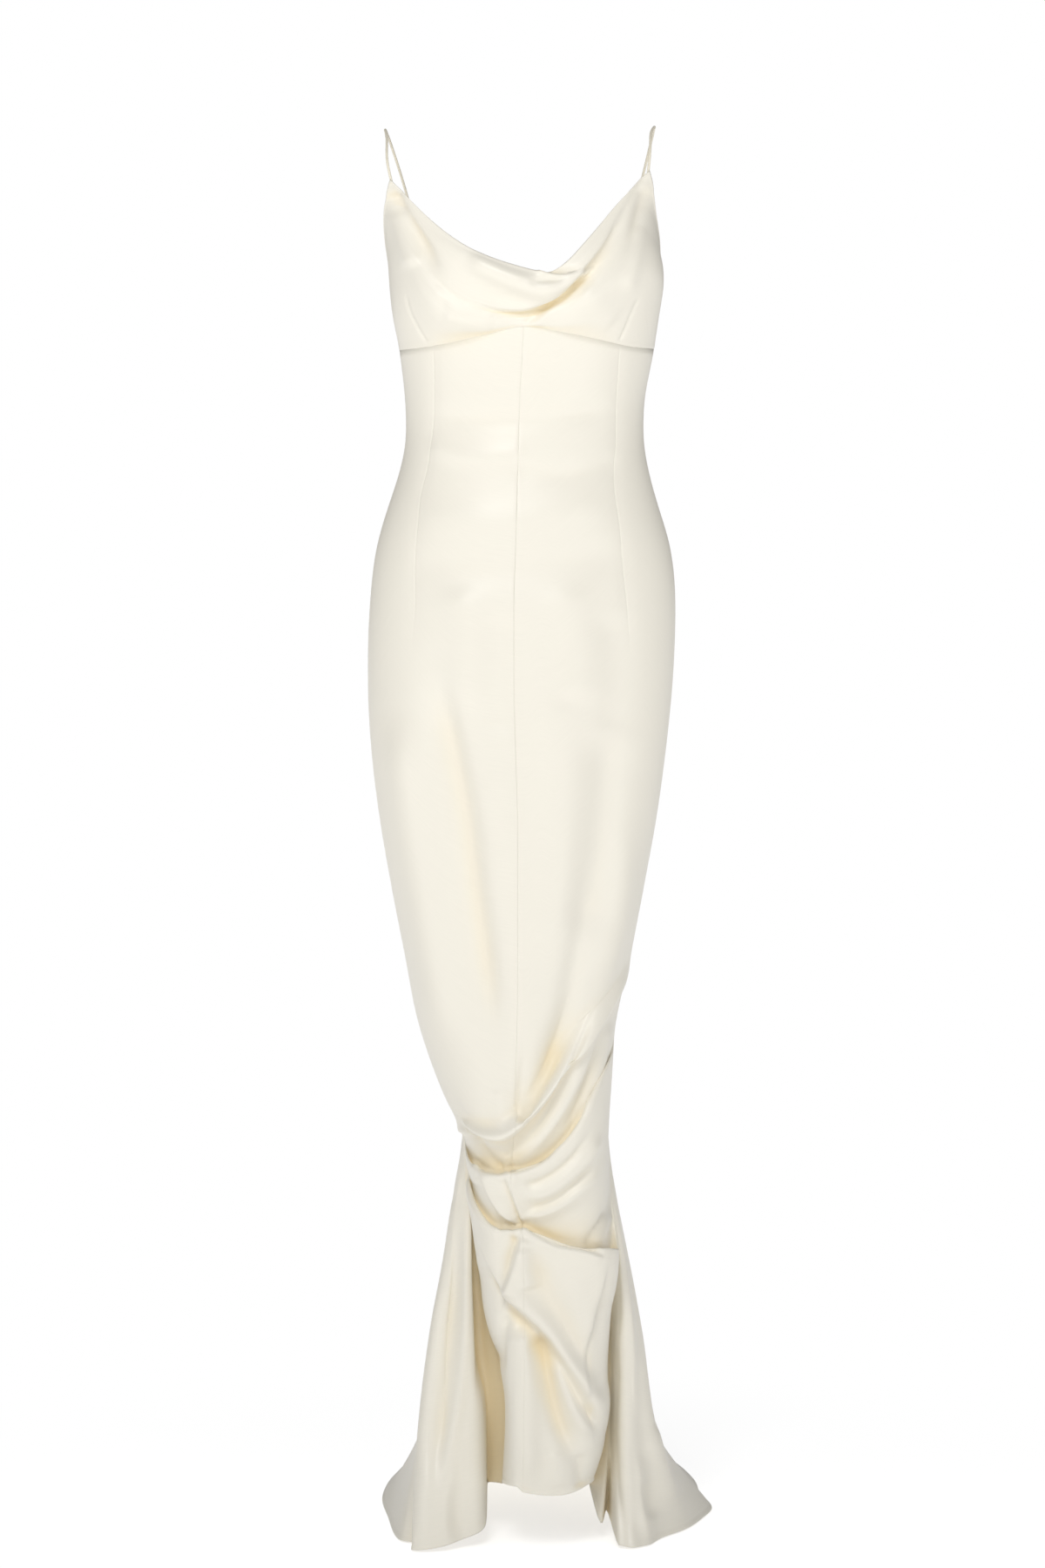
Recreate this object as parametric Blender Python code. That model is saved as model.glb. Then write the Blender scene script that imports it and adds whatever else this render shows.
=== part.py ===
"""Bias-cut satin slip dress with a cowl neck, a tucked knee, side flares and a small train.

Metres, +Z up, front towards -Y, wearer's right at -X. The origin lies between the two strap crests.
The dress is one tube of cloth. Courses run round it, columns run down it, and it is cut at its seams.
"""

from dataclasses import dataclass

import bmesh
import bpy
import numpy as np

MM = 0.001
WALL = 1.5 * MM
SEAM_GAP = 0.5 * MM
STRAP_RADIUS = 1.5 * MM

# Where the tube passes each height, and how square its quarters are: 2 is an ellipse. Millimetres. Columns:
# height, left x, right x, seam y, centre x, front y, back y, then left, right and back fullness.
SECTIONS = np.array([
    [-40, -176, 164, 0, 2, -110, 84, 2.2, 2.2, 2.0],
    [-95, -151, 144.5, 0, 2, -116, 84, 2.2, 2.2, 2.0],
    [-138, -141, 144.5, 0, 2, -120, 83, 2.2, 2.2, 2.0],
    [-190, -136, 142, 0, 2, -112, 79, 2.2, 2.2, 2.0],
    [-230, -129.5, 138.5, 0, 0, -101, 74, 2.2, 2.2, 2.0],
    [-284, -123.2, 128, 0, -3, -94, 67, 2.2, 2.2, 2.0],
    [-321, -122.3, 127, 0, -4, -92, 66, 2.2, 2.2, 2.0],
    [-358, -128.8, 132.5, 0, -5, -94, 73, 2.2, 2.2, 2.0],
    [-395, -141, 142.7, 0, -6, -98, 88, 2.2, 2.2, 2.0],
    [-431, -152, 154, 0, -7, -102, 103, 2.2, 2.2, 2.0],
    [-505, -161.4, 161.4, 0, -9, -108, 118, 2.2, 2.2, 2.0],
    [-579, -163.4, 158.8, 0, -9, -112, 116, 2.2, 2.2, 2.0],
    [-653, -159.9, 151.6, 0, -7, -113, 104, 2.2, 2.2, 2.0],
    [-727, -150.9, 141.6, 0, -5, -113, 96, 2.2, 2.2, 2.0],
    [-802, -138, 128, 0, -5, -112, 90, 2.2, 2.2, 2.0],
    [-876, -123.4, 114.1, 0, -5, -110, 83, 2.2, 2.2, 2.0],
    [-951, -108.7, 98, 0, -6, -108, 77, 2.2, 2.2, 2.0],
    [-988, -96.6, 94.5, 0, -7, -106, 74, 2.2, 2.4, 2.3],
    [-1026, -81.5, 92, 0, -7, -104, 71, 2.3, 2.6, 2.8],
    [-1063, -62.5, 90.5, 0, -9, -100, 69, 2.4, 3.0, 3.8],
    [-1100, -58, 92, -3, -13, -97, 68, 2.4, 3.4, 3.8],
    [-1150, -53, 93, -5, 0, -94, 68, 2.6, 4.0, 3.8],
    [-1210, -47, 92.5, -9, 2, -95, 68, 2.8, 4.0, 3.8],
    [-1255, -40, 91.5, -12, 2, -96, 68, 3.0, 4.0, 3.8],
    [-1300, -27, 91, -15, 2, -99, 68, 3.0, 4.0, 3.8],
    [-1345, -17, 90.5, -18, 1, -103, 68, 3.0, 4.0, 3.8],
    [-1380, -17.5, 89.5, -19, 1, -106, 68, 3.0, 4.0, 3.8],
    [-1410, -20, 81, -18, 0, -109, 68, 3.0, 4.0, 3.8],
    [-1470, -23, 62, -16, 0, -114, 68, 3.0, 4.0, 3.8],
])
HEIGHT, LEFT_X, RIGHT_X, SEAM_Y, CENTRE_X = range(5)
FRONT_Y, BACK_Y, LEFT_FULL, RIGHT_FULL, BACK_FULL = range(5, 10)

# Across the front, -1 is the left seam, 0 the centre front and 1 the right seam.
TIP = 0.583
STATIONS = (-1.0, -0.55, -0.2, 0.0, 0.3, 0.6, 1.0)
LOW_STATIONS = (-1.0, -0.55, -0.2, 0.0, 0.3, 0.6, 0.78, 1.0)


@dataclass(frozen=True)
class Course:
    """One line of cloth round the dress: heights across the front and at the back, and how far out it is."""

    name: str
    heights: tuple
    centre_back: float
    out: tuple = (0, 0, 0, 0, 0, 0, 0)
    stations: tuple = STATIONS
    steps: int = 2
    corners: tuple = ()


NECK_STATIONS = (-1.0, -TIP, -0.45, -0.3, 0.0, 0.1, 0.3, 0.45, TIP, 1.0)
BODICE_STATIONS = (-1.0, -TIP, -0.4, -0.2, 0.0, 0.15, 0.3, TIP, 1.0)

# Heights and distances in millimetres, at the stations above. "steps" counts rows down to the next course.
COURSES = (
    Course("neck_edge", (-138, -56, -91, -120, -149, -154, -115, -78, -47, -138), -185,
           (0, 0, 3, 6, 9, 9, 6, 3, 0, 0), NECK_STATIONS, 1, (-TIP, TIP)),
    Course("cowl_roll", (-144, -76, -120, -144, -163, -167, -133, -74, -144), -191,
           (0, 2, 8, 12, 16, 16, 12, 2, 0), BODICE_STATIONS, 2),
    Course("cowl_crease", (-156, -112, -160, -184, -192, -184, -152, -106, -156), -199,
           (0, 6, 10, 6, 2, 1, 2, 6, 0), BODICE_STATIONS, 1),
    Course("cup", (-178, -152, -182, -197, -200, -194, -176, -148, -178), -209,
           (0, 10, 18, 10, 2, 4, 12, 12, 0), BODICE_STATIONS, 1),
    Course("cup_lower", (-205, -192, -206, -210, -204, -206, -200, -190, -204), -220,
           (0, 8, 12, 6, 1, 3, 8, 8, 0), BODICE_STATIONS, 1),
    Course("raised_waist_seam", (-232, -230, -226, -218, -208, -213, -219, -229, -230.5), -232,
           (0, 0, 0, 0, 0, 0, 0, 0, 0), BODICE_STATIONS, 2),
    Course("waist", (-322, -322, -322, -322, -322, -322, -322), -322, steps=3),
    Course("high_hip", (-430, -430, -430, -430, -430, -430, -430), -430, steps=2),
    Course("hip", (-545, -545, -545, -545, -542, -540, -540), -545, steps=2),
    Course("thigh", (-690, -690, -690, -690, -675, -662, -650), -690, steps=2),
    Course("low_thigh", (-835, -835, -835, -832, -795, -765, -735), -835, steps=2),
    Course("above_fold", (-965, -968, -965, -950, -892, -848, -800), -950, steps=1),
    Course("hollow", (-1042, -1034, -1030, -1020, -966, -912, -860), -1000, (0, -1, -3, -4, -7, -6, 0)),
    Course("lip_1", (-1061, -1053, -1051, -1041, -991, -936, -884), -1020, (0, 8, 12, 13, 14, 10, 0),
           steps=1),
    Course("slope_1", (-1064, -1066, -1067, -1059, -1012, -956, -903), -1042, (0, 0, 0, 0, 2, 2, 0), steps=1),
    Course("inner_1", (-1067, -1086, -1091, -1089, -1056, -992, -936), -1064, (0, -6, -8, -9, -6, -4, 0),
           steps=1),
    Course("bottom_1", (-1070, -1099, -1104, -1102, -1076, -1010, -950), -1086, (0, -2, -3, -3, -2, -1, 0),
           steps=1),
    Course("lip_2", (-1073, -1087, -1090, -1086, -1062, -995, -962), -1110, (0, 3, 6, 7, 7, 4, 0), steps=1),
    Course("outer_2", (-1077, -1096, -1100, -1097, -1073, -1016, -984), -1134, (0, 5, 10, 11, 11, 6, 0),
           steps=1),
    Course("tier_2", (-1083, -1118, -1130, -1130, -1116, -1080, -1026), -1160, (0, 0, 2, 1, 4, 3, 0),
           steps=1),
    Course("inner_2", (-1090, -1138, -1154, -1152, -1154, -1152, -1150, -1078), -1186,
           (0, -7, -9, -9, -8, -8, -6, 0), LOW_STATIONS, 1),
    Course("bottom_2", (-1096, -1148, -1166, -1165, -1180, -1190, -1190, -1100), -1212,
           (0, -2, -3, -3, -1, 2, 2, 0), LOW_STATIONS, 1),
    Course("lip_3", (-1102, -1132, -1151, -1148, -1165, -1175, -1182, -1118), -1238,
           (0, 4, 7, 7, 10, 13, 10, 0), LOW_STATIONS, 1),
    Course("outer_3", (-1112, -1146, -1163, -1160, -1177, -1187, -1196, -1150), -1264,
           (0, 6, 10, 11, 13, 15, 10, 0), LOW_STATIONS, 3),
    Course("lower_front", (-1205, -1232, -1242, -1244, -1248, -1250, -1250, -1240), -1335,
           (0, 1, 2, 3, 4, 6, 4, 0), LOW_STATIONS, 3),
    Course("above_hem", (-1330, -1338, -1340, -1342, -1344, -1342, -1340), -1418, steps=2),
    Course("hem", (-1440, -1425, -1422, -1428, -1432, -1425, -1440), -1495),
)
NAMES = [course.name for course in COURSES]
WAIST_SEAM = NAMES.index("raised_waist_seam")

# Below the knee the back panels open into flares and a train. Each rib runs down at one place from the side
# seam, 0, to the centre back, 1. Columns: place, then x, y and z at the calf, the ankle and the hem, in mm.
KNEE = -1060
CALF, ANKLE, FLOOR = -1270, -1400, -1495
RIBS = {
    "left": np.array([
        [0.05, -51, -6, -1255, -37, -3, -1365, -38, -1, -1443],
        [0.15, -48, -34, -1262, -42, -47, -1378, -39, -56, -1474],
        [0.30, -84, -38, -1268, -82, -66, -1392, -84, -90, -1491],
        [0.40, -99, -14, -1270, -113, -48, -1395, -117, -87, -1495],
        [0.45, -97, 0, -1270, -108, -26, -1396, -111, -60, -1495],
        [0.51, -95, 14, -1270, -113, -2, -1398, -131, -42, -1495],
        [0.60, -84, 42, -1270, -110, 60, -1400, -146, 70, -1495],
        [0.72, -64, 70, -1275, -94, 124, -1405, -152, 222, -1495],
        [0.85, -35, 88, -1278, -60, 172, -1410, -118, 395, -1495],
        [1.00, 0, 95, -1280, 0, 192, -1412, 0, 465, -1495],
    ]),
    "right": np.array([
        [0.05, 99, -10, -1262, 95, -12, -1385, 84, -40, -1478],
        [0.09, 102, -14, -1263, 97, -15, -1390, 90, -2, -1472],
        [0.15, 104, -25, -1264, 98.5, -42, -1395, 103, -76, -1493],
        [0.30, 116, -30, -1268, 118, -58, -1398, 133, -67, -1495],
        [0.42, 127, -4, -1270, 147, -22, -1400, 176, 6, -1495],
        [0.50, 122, 18, -1270, 149, 14, -1401, 195, 56, -1495],
        [0.60, 108, 44, -1270, 146, 62, -1403, 209, 120, -1495],
        [0.72, 86, 72, -1275, 130, 120, -1406, 195, 238, -1495],
        [0.85, 48, 88, -1278, 78, 170, -1410, 138, 395, -1495],
        [1.00, 0, 95, -1280, 0, 192, -1412, 0, 465, -1495],
    ]),
}
# The flares start sharply at the knee up to this place, and the train starts smoothly behind it.
SHARP_FLARE = 0.5
HEM_AT_SEAM = {"left": -1440, "right": -1440}

# Soft flutes in the flares and the train: place from the side seam, half width, and how far out at the hem.
FLUTES = {
    "left": ((0.235, 0.045, -8), (0.35, 0.03, 3), (0.66, 0.05, 4), (0.78, 0.05, -8), (0.92, 0.05, 6)),
    "right": ((0.22, 0.04, 5), (0.36, 0.04, -7), (0.66, 0.05, -9), (0.80, 0.05, 4), (0.92, 0.05, -8)),
}


@dataclass(frozen=True)
class Crease:
    """A long soft ridge or trough on the front: points in x and z, half width and depth, in millimetres."""

    points: tuple
    width: float
    out: float


CREASES = (
    Crease(((-91, -610), (-70, -682), (-52, -765), (-43, -860), (-29, -940)), 26, -5),
    Crease(((-3, -1160), (-9, -1185), (-15, -1220)), 13, 4),
    Crease(((-37, -1207), (-1, -1239), (28, -1268), (60, -1318), (78, -1349)), 14, 6),
    Crease(((11, -1171), (21, -1227), (48, -1286), (77, -1343)), 12, -5),
    Crease(((11, -1256), (29, -1298), (48, -1364)), 12, -5),
    Crease(((16, -1395), (18, -1425)), 13, 4),
    Crease(((58, -1388), (60, -1425)), 12, -6),
)

# The straps rise from the front tips, pass over the shoulder and come down to the back edge. On the way
# they pass these points. Columns: x, y and z. Millimetres.
STRAPS = {
    "left": ((-140.5, -62, -36), (-141.5, -38, -13), (-144, -6, -1.5), (-141, 24, -9), (-129, 50, -46),
             (-113, 62, -104)),
    "right": ((132.5, -60, -28), (134, -36, -7), (138.5, -5, 1.5), (137, 25, -7), (128, 50, -46),
              (113, 62, -104)),
}
STRAP_BACK = 0.5
STRAP_LIFT = 1.1
STRAP_SIDES = 8
STRAP_STEPS = 22

SATIN_COLOUR = (0.87, 0.83, 0.71, 1.0)


def spline(knots, values, query, start=None, end=None):
    """A smooth curve through the values at the knots, with no overshoot. The end slopes may be given."""
    knots = np.asarray(knots, float)
    values = np.asarray(values, float)
    flat = values.reshape(len(knots), -1)
    gaps = np.diff(knots)[:, None]
    rise = np.diff(flat, axis=0) / gaps
    slopes = np.zeros_like(flat)
    slopes[0], slopes[-1] = rise[0], rise[-1]
    if len(knots) > 2:
        before, after = rise[:-1], rise[1:]
        mean = (before * gaps[1:] + after * gaps[:-1]) / (gaps[:-1] + gaps[1:])
        limit = 3 * np.minimum(abs(before), abs(after))
        slopes[1:-1] = np.where(before * after > 0, np.sign(mean) * np.minimum(abs(mean), limit), 0)
    if start is not None:
        slopes[0] = start
    if end is not None:
        slopes[-1] = end
    query = np.clip(np.asarray(query, float), knots[0], knots[-1])
    place = np.clip(np.searchsorted(knots, query, side="right") - 1, 0, len(knots) - 2)
    width = gaps[place]
    t = ((query - knots[place]) / width[..., 0])[..., None]
    found = (
        (2 * t**3 - 3 * t**2 + 1) * flat[place]
        + (t**3 - 2 * t**2 + t) * width * slopes[place]
        + (3 * t**2 - 2 * t**3) * flat[place + 1]
        + (t**3 - t**2) * width * slopes[place + 1]
    )
    return found.reshape(query.shape + values.shape[1:])


def section(height):
    """The section's values at each height."""
    order = SECTIONS[::-1]
    return spline(order[:, HEIGHT], order, np.asarray(height, float))


def across(course, column, values):
    """A course's value at each front column. The neck edge has a corner at each strap tip."""
    cuts = [course.stations.index(u) for u in (-1.0, *course.corners, 1.0)]
    found = np.empty(len(column))
    for first, last in zip(cuts[:-1], cuts[1:]):
        knots = course.stations[first : last + 1]
        inside = (column >= knots[0]) & (column <= knots[-1])
        found[inside] = spline(knots, values[first : last + 1], column[inside])
    return found


def crease_out(x, z):
    """How far the creases move each front point out."""
    out = np.zeros_like(x)
    for crease in CREASES:
        points = np.array(crease.points, float)
        nearest = np.full(x.shape, np.inf)
        for a, b in zip(points[:-1], points[1:]):
            along = ((x - a[0]) * (b - a)[0] + (z - a[1]) * (b - a)[1]) / ((b - a) ** 2).sum()
            along = np.clip(along, 0, 1)
            across_x = x - a[0] - along * (b - a)[0]
            across_z = z - a[1] - along * (b - a)[1]
            nearest = np.minimum(nearest, np.hypot(across_x, across_z))
        out += crease.out * np.exp(-((nearest / crease.width) ** 2))
    return out


def front_point(column, height, out):
    """Front points, in millimetres, at each column and height, moved out from the section."""
    place = section(height)
    left = column < 0
    angle = (1 - abs(column)) * np.pi / 2
    half = np.where(left, place[..., LEFT_X], place[..., RIGHT_X]) - place[..., CENTRE_X]
    depth = place[..., FRONT_Y] - place[..., SEAM_Y]
    full = np.where(left, place[..., LEFT_FULL], place[..., RIGHT_FULL])
    square = (np.cos(angle) ** full + np.sin(angle) ** full) ** (-1 / full)
    x = place[..., CENTRE_X] + half * np.cos(angle) * square
    y = place[..., SEAM_Y] + depth * np.sin(angle) * square
    out = out + crease_out(x, height) * np.minimum(1, 4 * np.sin(angle)) * (column != 0)
    out_x = np.cos(angle) * abs(depth) * np.where(left, -1, 1)
    out_y = -np.sin(angle) * abs(half)
    length = np.hypot(out_x, out_y)
    return np.stack([x + out * out_x / length, y + out * out_y / length, height + 0 * x], axis=-1)


def nominal_height(side, height):
    """The seam's hem hangs above the floor, so below the knee its heights are stretched to the ribs'."""
    stretch = (FLOOR - KNEE) / (HEM_AT_SEAM[side] - KNEE)
    return np.where(height < KNEE, KNEE + (height - KNEE) * stretch, height)


def back_row(side, seam_height, back_height, column):
    """One row of a back panel, in millimetres: column 0 is the side seam and 1 the centre back."""
    ribs = RIBS[side]
    seam_at = section(seam_height)
    seam_x = seam_at[LEFT_X] if side == "left" else seam_at[RIGHT_X]
    stations = [0.0]
    points = [(seam_x, seam_at[SEAM_Y], seam_height)]
    top = float(nominal_height(side, seam_height))
    for rib in ribs:
        place = rib[0]
        fan = min(1.0, place / 0.6)
        height = top + (back_height - top) * fan * fan * (3 - 2 * fan)
        heights = np.array([height if height > KNEE else KNEE, KNEE, KNEE + 70, KNEE + 140])
        at = section(heights)
        angle = place * np.pi / 2
        half = at[:, LEFT_X] if side == "left" else at[:, RIGHT_X]
        full = at[:, BACK_FULL]
        square = (np.cos(angle) ** full + np.sin(angle) ** full) ** (-1 / full)
        body_x = half * np.cos(angle) * square
        body_y = at[:, SEAM_Y] + (at[:, BACK_Y] - at[:, SEAM_Y]) * np.sin(angle) * square
        body = np.stack([body_x, body_y, heights], 1)
        point = body[0]
        if height < KNEE:
            knots = [FLOOR, ANKLE, CALF, KNEE, KNEE + 70, KNEE + 140]
            points_down = [rib[7:10], rib[4:7], rib[1:4], body[1], body[2], body[3]]
            smooth = np.clip((place - SHARP_FLARE) / (1 - SHARP_FLARE), 0, 1)
            point = smooth * spline(knots, points_down, height)
            point = point + (1 - smooth) * spline(knots[:4], points_down[:4], height)
        stations.append(place)
        points.append(point)
    points = np.array(points)
    below = np.clip((KNEE - top) / 150, 0, 1)
    depth = (section(min(-40, max(seam_height, KNEE)))[BACK_Y]) * np.pi / 2
    start = (0, depth + (160 - depth) * below, 0)
    end = ((points[-1] - points[-2])[0] / (stations[-1] - stations[-2]), 0, 0)
    row = spline(stations, points, column, start, end)
    return flute(row, side, column, top, back_height)


def flute(row, side, column, top, back_height):
    """Moves a row in and out, in plan, by the soft flutes, which deepen towards the hem."""
    slope = np.gradient(row[:, :2], axis=0)
    length = np.maximum(np.hypot(slope[:, 0], slope[:, 1]), 1e-6)
    turn = -1 if side == "left" else 1
    normal = turn * np.stack([slope[:, 1], -slope[:, 0]], 1) / length[:, None]
    fan = np.minimum(1, column / 0.6)
    height = top + (back_height - top) * fan * fan * (3 - 2 * fan)
    drop = np.clip((KNEE - 60 - height) / (KNEE - 60 - FLOOR), 0, 1)
    wave = sum(out * np.exp(-(((column - at) / width) ** 2)) for at, width, out in FLUTES[side])
    moved = row.copy()
    moved[:, :2] += normal * (wave * drop)[:, None]
    return moved


def tube(front_columns, back_columns):
    """The whole tube as a grid of points in mm: rows down, columns from centre back round by the left."""
    steps = [course.steps for course in COURSES[:-1]]
    keys = np.arange(len(COURSES), dtype=float)
    rows = np.concatenate([k + np.arange(n) / n for k, n in enumerate(steps)] + [[keys[-1]]])
    heights = np.array([across(c, front_columns, c.heights) for c in COURSES])
    outs = np.array([across(c, front_columns, c.out) for c in COURSES])
    backs = np.array([c.centre_back for c in COURSES])
    middle = np.argmin(abs(front_columns))
    travel = np.hypot(np.diff(heights[:, middle]), np.diff(outs[:, middle]))
    knots = np.concatenate([[0], np.cumsum(travel)])
    at = np.interp(rows, keys, knots)
    height = spline(knots, heights, at)
    out = spline(knots, outs, at)
    back = spline(knots, backs, at)
    front = np.stack([front_point(front_columns, h, o) for h, o in zip(height, out)])
    left = np.stack([back_row("left", h[0], b, back_columns) for h, b in zip(height, back)])
    right = np.stack([back_row("right", h[-1], b, back_columns) for h, b in zip(height, back)])
    return np.concatenate([left[:, ::-1], front[:, 1:-1], right], axis=1), rows


def unit(vectors):
    """Each vector at length one."""
    return vectors / np.maximum(np.linalg.norm(vectors, axis=-1, keepdims=True), 1e-12)


def directions(grid):
    """Unit steps along the rows and down the columns, and outward normals, of a grid that closes round."""
    closed = np.concatenate([grid[:, -2:-1], grid, grid[:, 1:2]], axis=1)
    along = unit(closed[:, 2:] - closed[:, :-2])
    down = np.empty_like(grid)
    down[1:-1] = grid[2:] - grid[:-2]
    down[0] = grid[1] - grid[0]
    down[-1] = grid[-1] - grid[-2]
    down = unit(down)
    normal = np.cross(down, along)
    return along, down, unit(normal)


def panel_points(grid, rows, columns):
    """A panel's points cut from the tube, pulled in by half the seam gap on the edges where it is sewn."""
    along, down, normal = directions(grid)
    first, last = columns
    top, bottom = rows
    part = grid[top : bottom + 1, first : last + 1].copy()
    part[:, 0] += along[top : bottom + 1, first] * SEAM_GAP / MM / 2
    part[:, -1] -= along[top : bottom + 1, last] * SEAM_GAP / MM / 2
    if top > 0:
        part[0] += down[top, first : last + 1] * SEAM_GAP / MM / 2
    if bottom < len(grid) - 1:
        part[-1] -= down[bottom, first : last + 1] * SEAM_GAP / MM / 2
    return part, normal[top : bottom + 1, first : last + 1]


def material(name, roughness):
    """The satin's plain colour."""
    made = bpy.data.materials.new(name)
    made.use_nodes = True
    shader = made.node_tree.nodes["Principled BSDF"]
    shader.inputs["Base Color"].default_value = SATIN_COLOUR
    shader.inputs["Roughness"].default_value = roughness
    shader.inputs["Metallic"].default_value = 0.0
    return made


def add_object(name, shape, roughness):
    """Adds a finished bmesh to the scene as a named piece."""
    bmesh.ops.recalc_face_normals(shape, faces=shape.faces)
    mesh = bpy.data.meshes.new(name)
    shape.to_mesh(mesh)
    shape.free()
    mesh.shade_smooth()
    mesh.materials.append(material(name + "_satin", roughness))
    bpy.context.scene.collection.objects.link(bpy.data.objects.new(name, mesh))


def add_panel(name, points, normals):
    """A panel with its wall: an outer and an inner face half a wall each way, joined round the edge."""
    shape = bmesh.new()
    faces = []
    for side in (0.5, -0.5):
        place = points * MM + normals * WALL * side
        faces.append([[shape.verts.new(point) for point in row] for row in place])
    outer, inner = faces
    count, width = points.shape[:2]
    for i in range(count - 1):
        for j in range(width - 1):
            shape.faces.new((outer[i][j], outer[i][j + 1], outer[i + 1][j + 1], outer[i + 1][j]))
            shape.faces.new((inner[i][j], inner[i + 1][j], inner[i + 1][j + 1], inner[i][j + 1]))
    border = [(0, j) for j in range(width)] + [(i, width - 1) for i in range(1, count)]
    border += [(count - 1, j) for j in range(width - 2, -1, -1)] + [(i, 0) for i in range(count - 2, 0, -1)]
    for (a, b), (c, d) in zip(border, border[1:] + border[:1]):
        shape.faces.new((outer[a][b], inner[a][b], inner[c][d], outer[c][d]))
    add_object(name, shape, 0.4)


def add_strap(name, side, grid, front, back):
    """A thin round strap along a smooth path, from just above the front tip to just above the back edge."""
    lift = np.array([0, 0, STRAP_LIFT])
    path = np.array([grid[0, front] + lift, *STRAPS[side], grid[0, back] + lift])
    knots = np.concatenate([[0], np.cumsum(np.linalg.norm(np.diff(path, axis=0), axis=1))])
    centre = spline(knots, path, np.linspace(0, knots[-1], STRAP_STEPS + 1)) * MM
    ahead = unit(np.gradient(centre, axis=0))
    side = unit(np.cross(ahead, (1.0, 0.0, 0.0)))
    up = np.cross(side, ahead)
    shape = bmesh.new()
    rings = []
    for middle, a, b in zip(centre, side, up):
        turns = np.arange(STRAP_SIDES) * 2 * np.pi / STRAP_SIDES
        around = [STRAP_RADIUS * (np.cos(t) * a + np.sin(t) * b) for t in turns]
        rings.append([shape.verts.new(middle + step) for step in around])
    for ring, following in zip(rings[:-1], rings[1:]):
        for k in range(STRAP_SIDES):
            other = (k + 1) % STRAP_SIDES
            shape.faces.new((ring[k], ring[other], following[other], following[k]))
    shape.faces.new(rings[0][::-1])
    shape.faces.new(rings[-1])
    add_object(name, shape, 0.45)


def main():
    """Builds the five panels and the two straps."""
    for old in list(bpy.data.objects):
        bpy.data.objects.remove(old, do_unlink=True)
    half = np.concatenate([np.linspace(-1, -TIP, 5), np.linspace(-TIP, 0, 10)[1:]])
    front_columns = np.concatenate([half, -half[-2::-1]])
    back_columns = np.array([0, 0.025, 0.05, 0.09, 0.15, 0.19, 0.235, 0.3, 0.35, 0.4, 0.45, 0.51, 0.56, 0.63,
                             0.7, 0.77, 0.85, 0.92, 1.0])
    grid, rows = tube(front_columns, back_columns)
    waist = int(np.argmin(abs(rows - WAIST_SEAM)))
    hem = len(rows) - 1
    left = len(back_columns) - 1
    centre = left + len(half) - 1
    right = left + len(front_columns) - 1
    around = grid.shape[1] - 1
    panels = {
        "back_left": ((0, hem), (0, left)),
        "bodice_front": ((0, waist), (left, right)),
        "skirt_front_left": ((waist, hem), (left, centre)),
        "skirt_front_right": ((waist, hem), (centre, right)),
        "back_right": ((0, hem), (right, around)),
    }
    for name, (span, columns) in panels.items():
        add_panel(name, *panel_points(grid, span, columns))
    back = int(np.argmin(abs(back_columns - STRAP_BACK)))
    tip = int(np.argmin(abs(front_columns + TIP)))
    add_strap("strap_left", "left", grid, left + tip, left - back)
    add_strap("strap_right", "right", grid, right - tip, right + back)


main()
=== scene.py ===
"""Looks of a bias-cut satin slip dress: fine cloth panels, straps, seams and hems, studio and camera.

Metres, +Z up, the front towards -Y, the origin between the two strap crests. Tables are in millimetres. Left
and right are as seen from the front, so left is at -X. The dress is one tube of cloth: courses run round it,
columns run down it, and it is cut at its seams. Across the front a column is counted from -1, at the left
side seam, to 1, at the right one, and behind from 0, at a side seam, to 1, at the centre back.
"""

import logging
import math
from collections.abc import Sequence
from dataclasses import astuple, dataclass, field
from enum import Enum

import bmesh
import bpy
import numpy as np
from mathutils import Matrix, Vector

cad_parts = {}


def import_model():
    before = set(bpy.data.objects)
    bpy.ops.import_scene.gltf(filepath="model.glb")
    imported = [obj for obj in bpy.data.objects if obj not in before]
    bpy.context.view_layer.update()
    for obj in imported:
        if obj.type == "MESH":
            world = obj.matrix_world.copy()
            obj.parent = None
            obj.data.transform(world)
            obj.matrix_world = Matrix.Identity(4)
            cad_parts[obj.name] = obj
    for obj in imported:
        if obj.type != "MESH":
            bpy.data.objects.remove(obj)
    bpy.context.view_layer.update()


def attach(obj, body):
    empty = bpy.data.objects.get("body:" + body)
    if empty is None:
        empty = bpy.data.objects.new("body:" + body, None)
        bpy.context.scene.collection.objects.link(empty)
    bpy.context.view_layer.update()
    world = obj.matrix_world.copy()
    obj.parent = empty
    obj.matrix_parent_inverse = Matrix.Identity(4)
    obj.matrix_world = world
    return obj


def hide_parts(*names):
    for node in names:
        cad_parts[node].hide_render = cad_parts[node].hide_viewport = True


LOG = logging.getLogger("slip_dress")
MM = 0.001
BODY = "root"
# Small enough to change nothing, and large enough to divide by.
TINY = 1e-12
# How many standard deviations a blur reaches, and how many places stand for each point of a crease's path.
BLUR_REACH = 3
PATH_STEPS = 4
# A crease's ends keep this share of its depth. These shares of a step's width are its reach and its turn.
LEAST_FADE = 0.1
STEP_REACH = 2.4
STEP_TURN = 0.4
# The column of each front tip, where a strap is sewn on.
TIP = 0.583
STATIONS = (-1.0, -0.55, -0.2, 0.0, 0.3, 0.6, 1.0)
LOW_STATIONS = (-1.0, -0.55, -0.2, 0.0, 0.3, 0.6, 0.78, 1.0)
NECK_STATIONS = (-1.0, -TIP, -0.45, -0.3, 0.0, 0.1, 0.3, 0.45, TIP, 1.0)
BODICE_STATIONS = (-1.0, -TIP, -0.4, -0.2, 0.0, 0.15, 0.3, TIP, 1.0)


class Side(Enum):
    """The side of the dress, as seen from the front."""

    LEFT = "left"
    RIGHT = "right"


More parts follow.
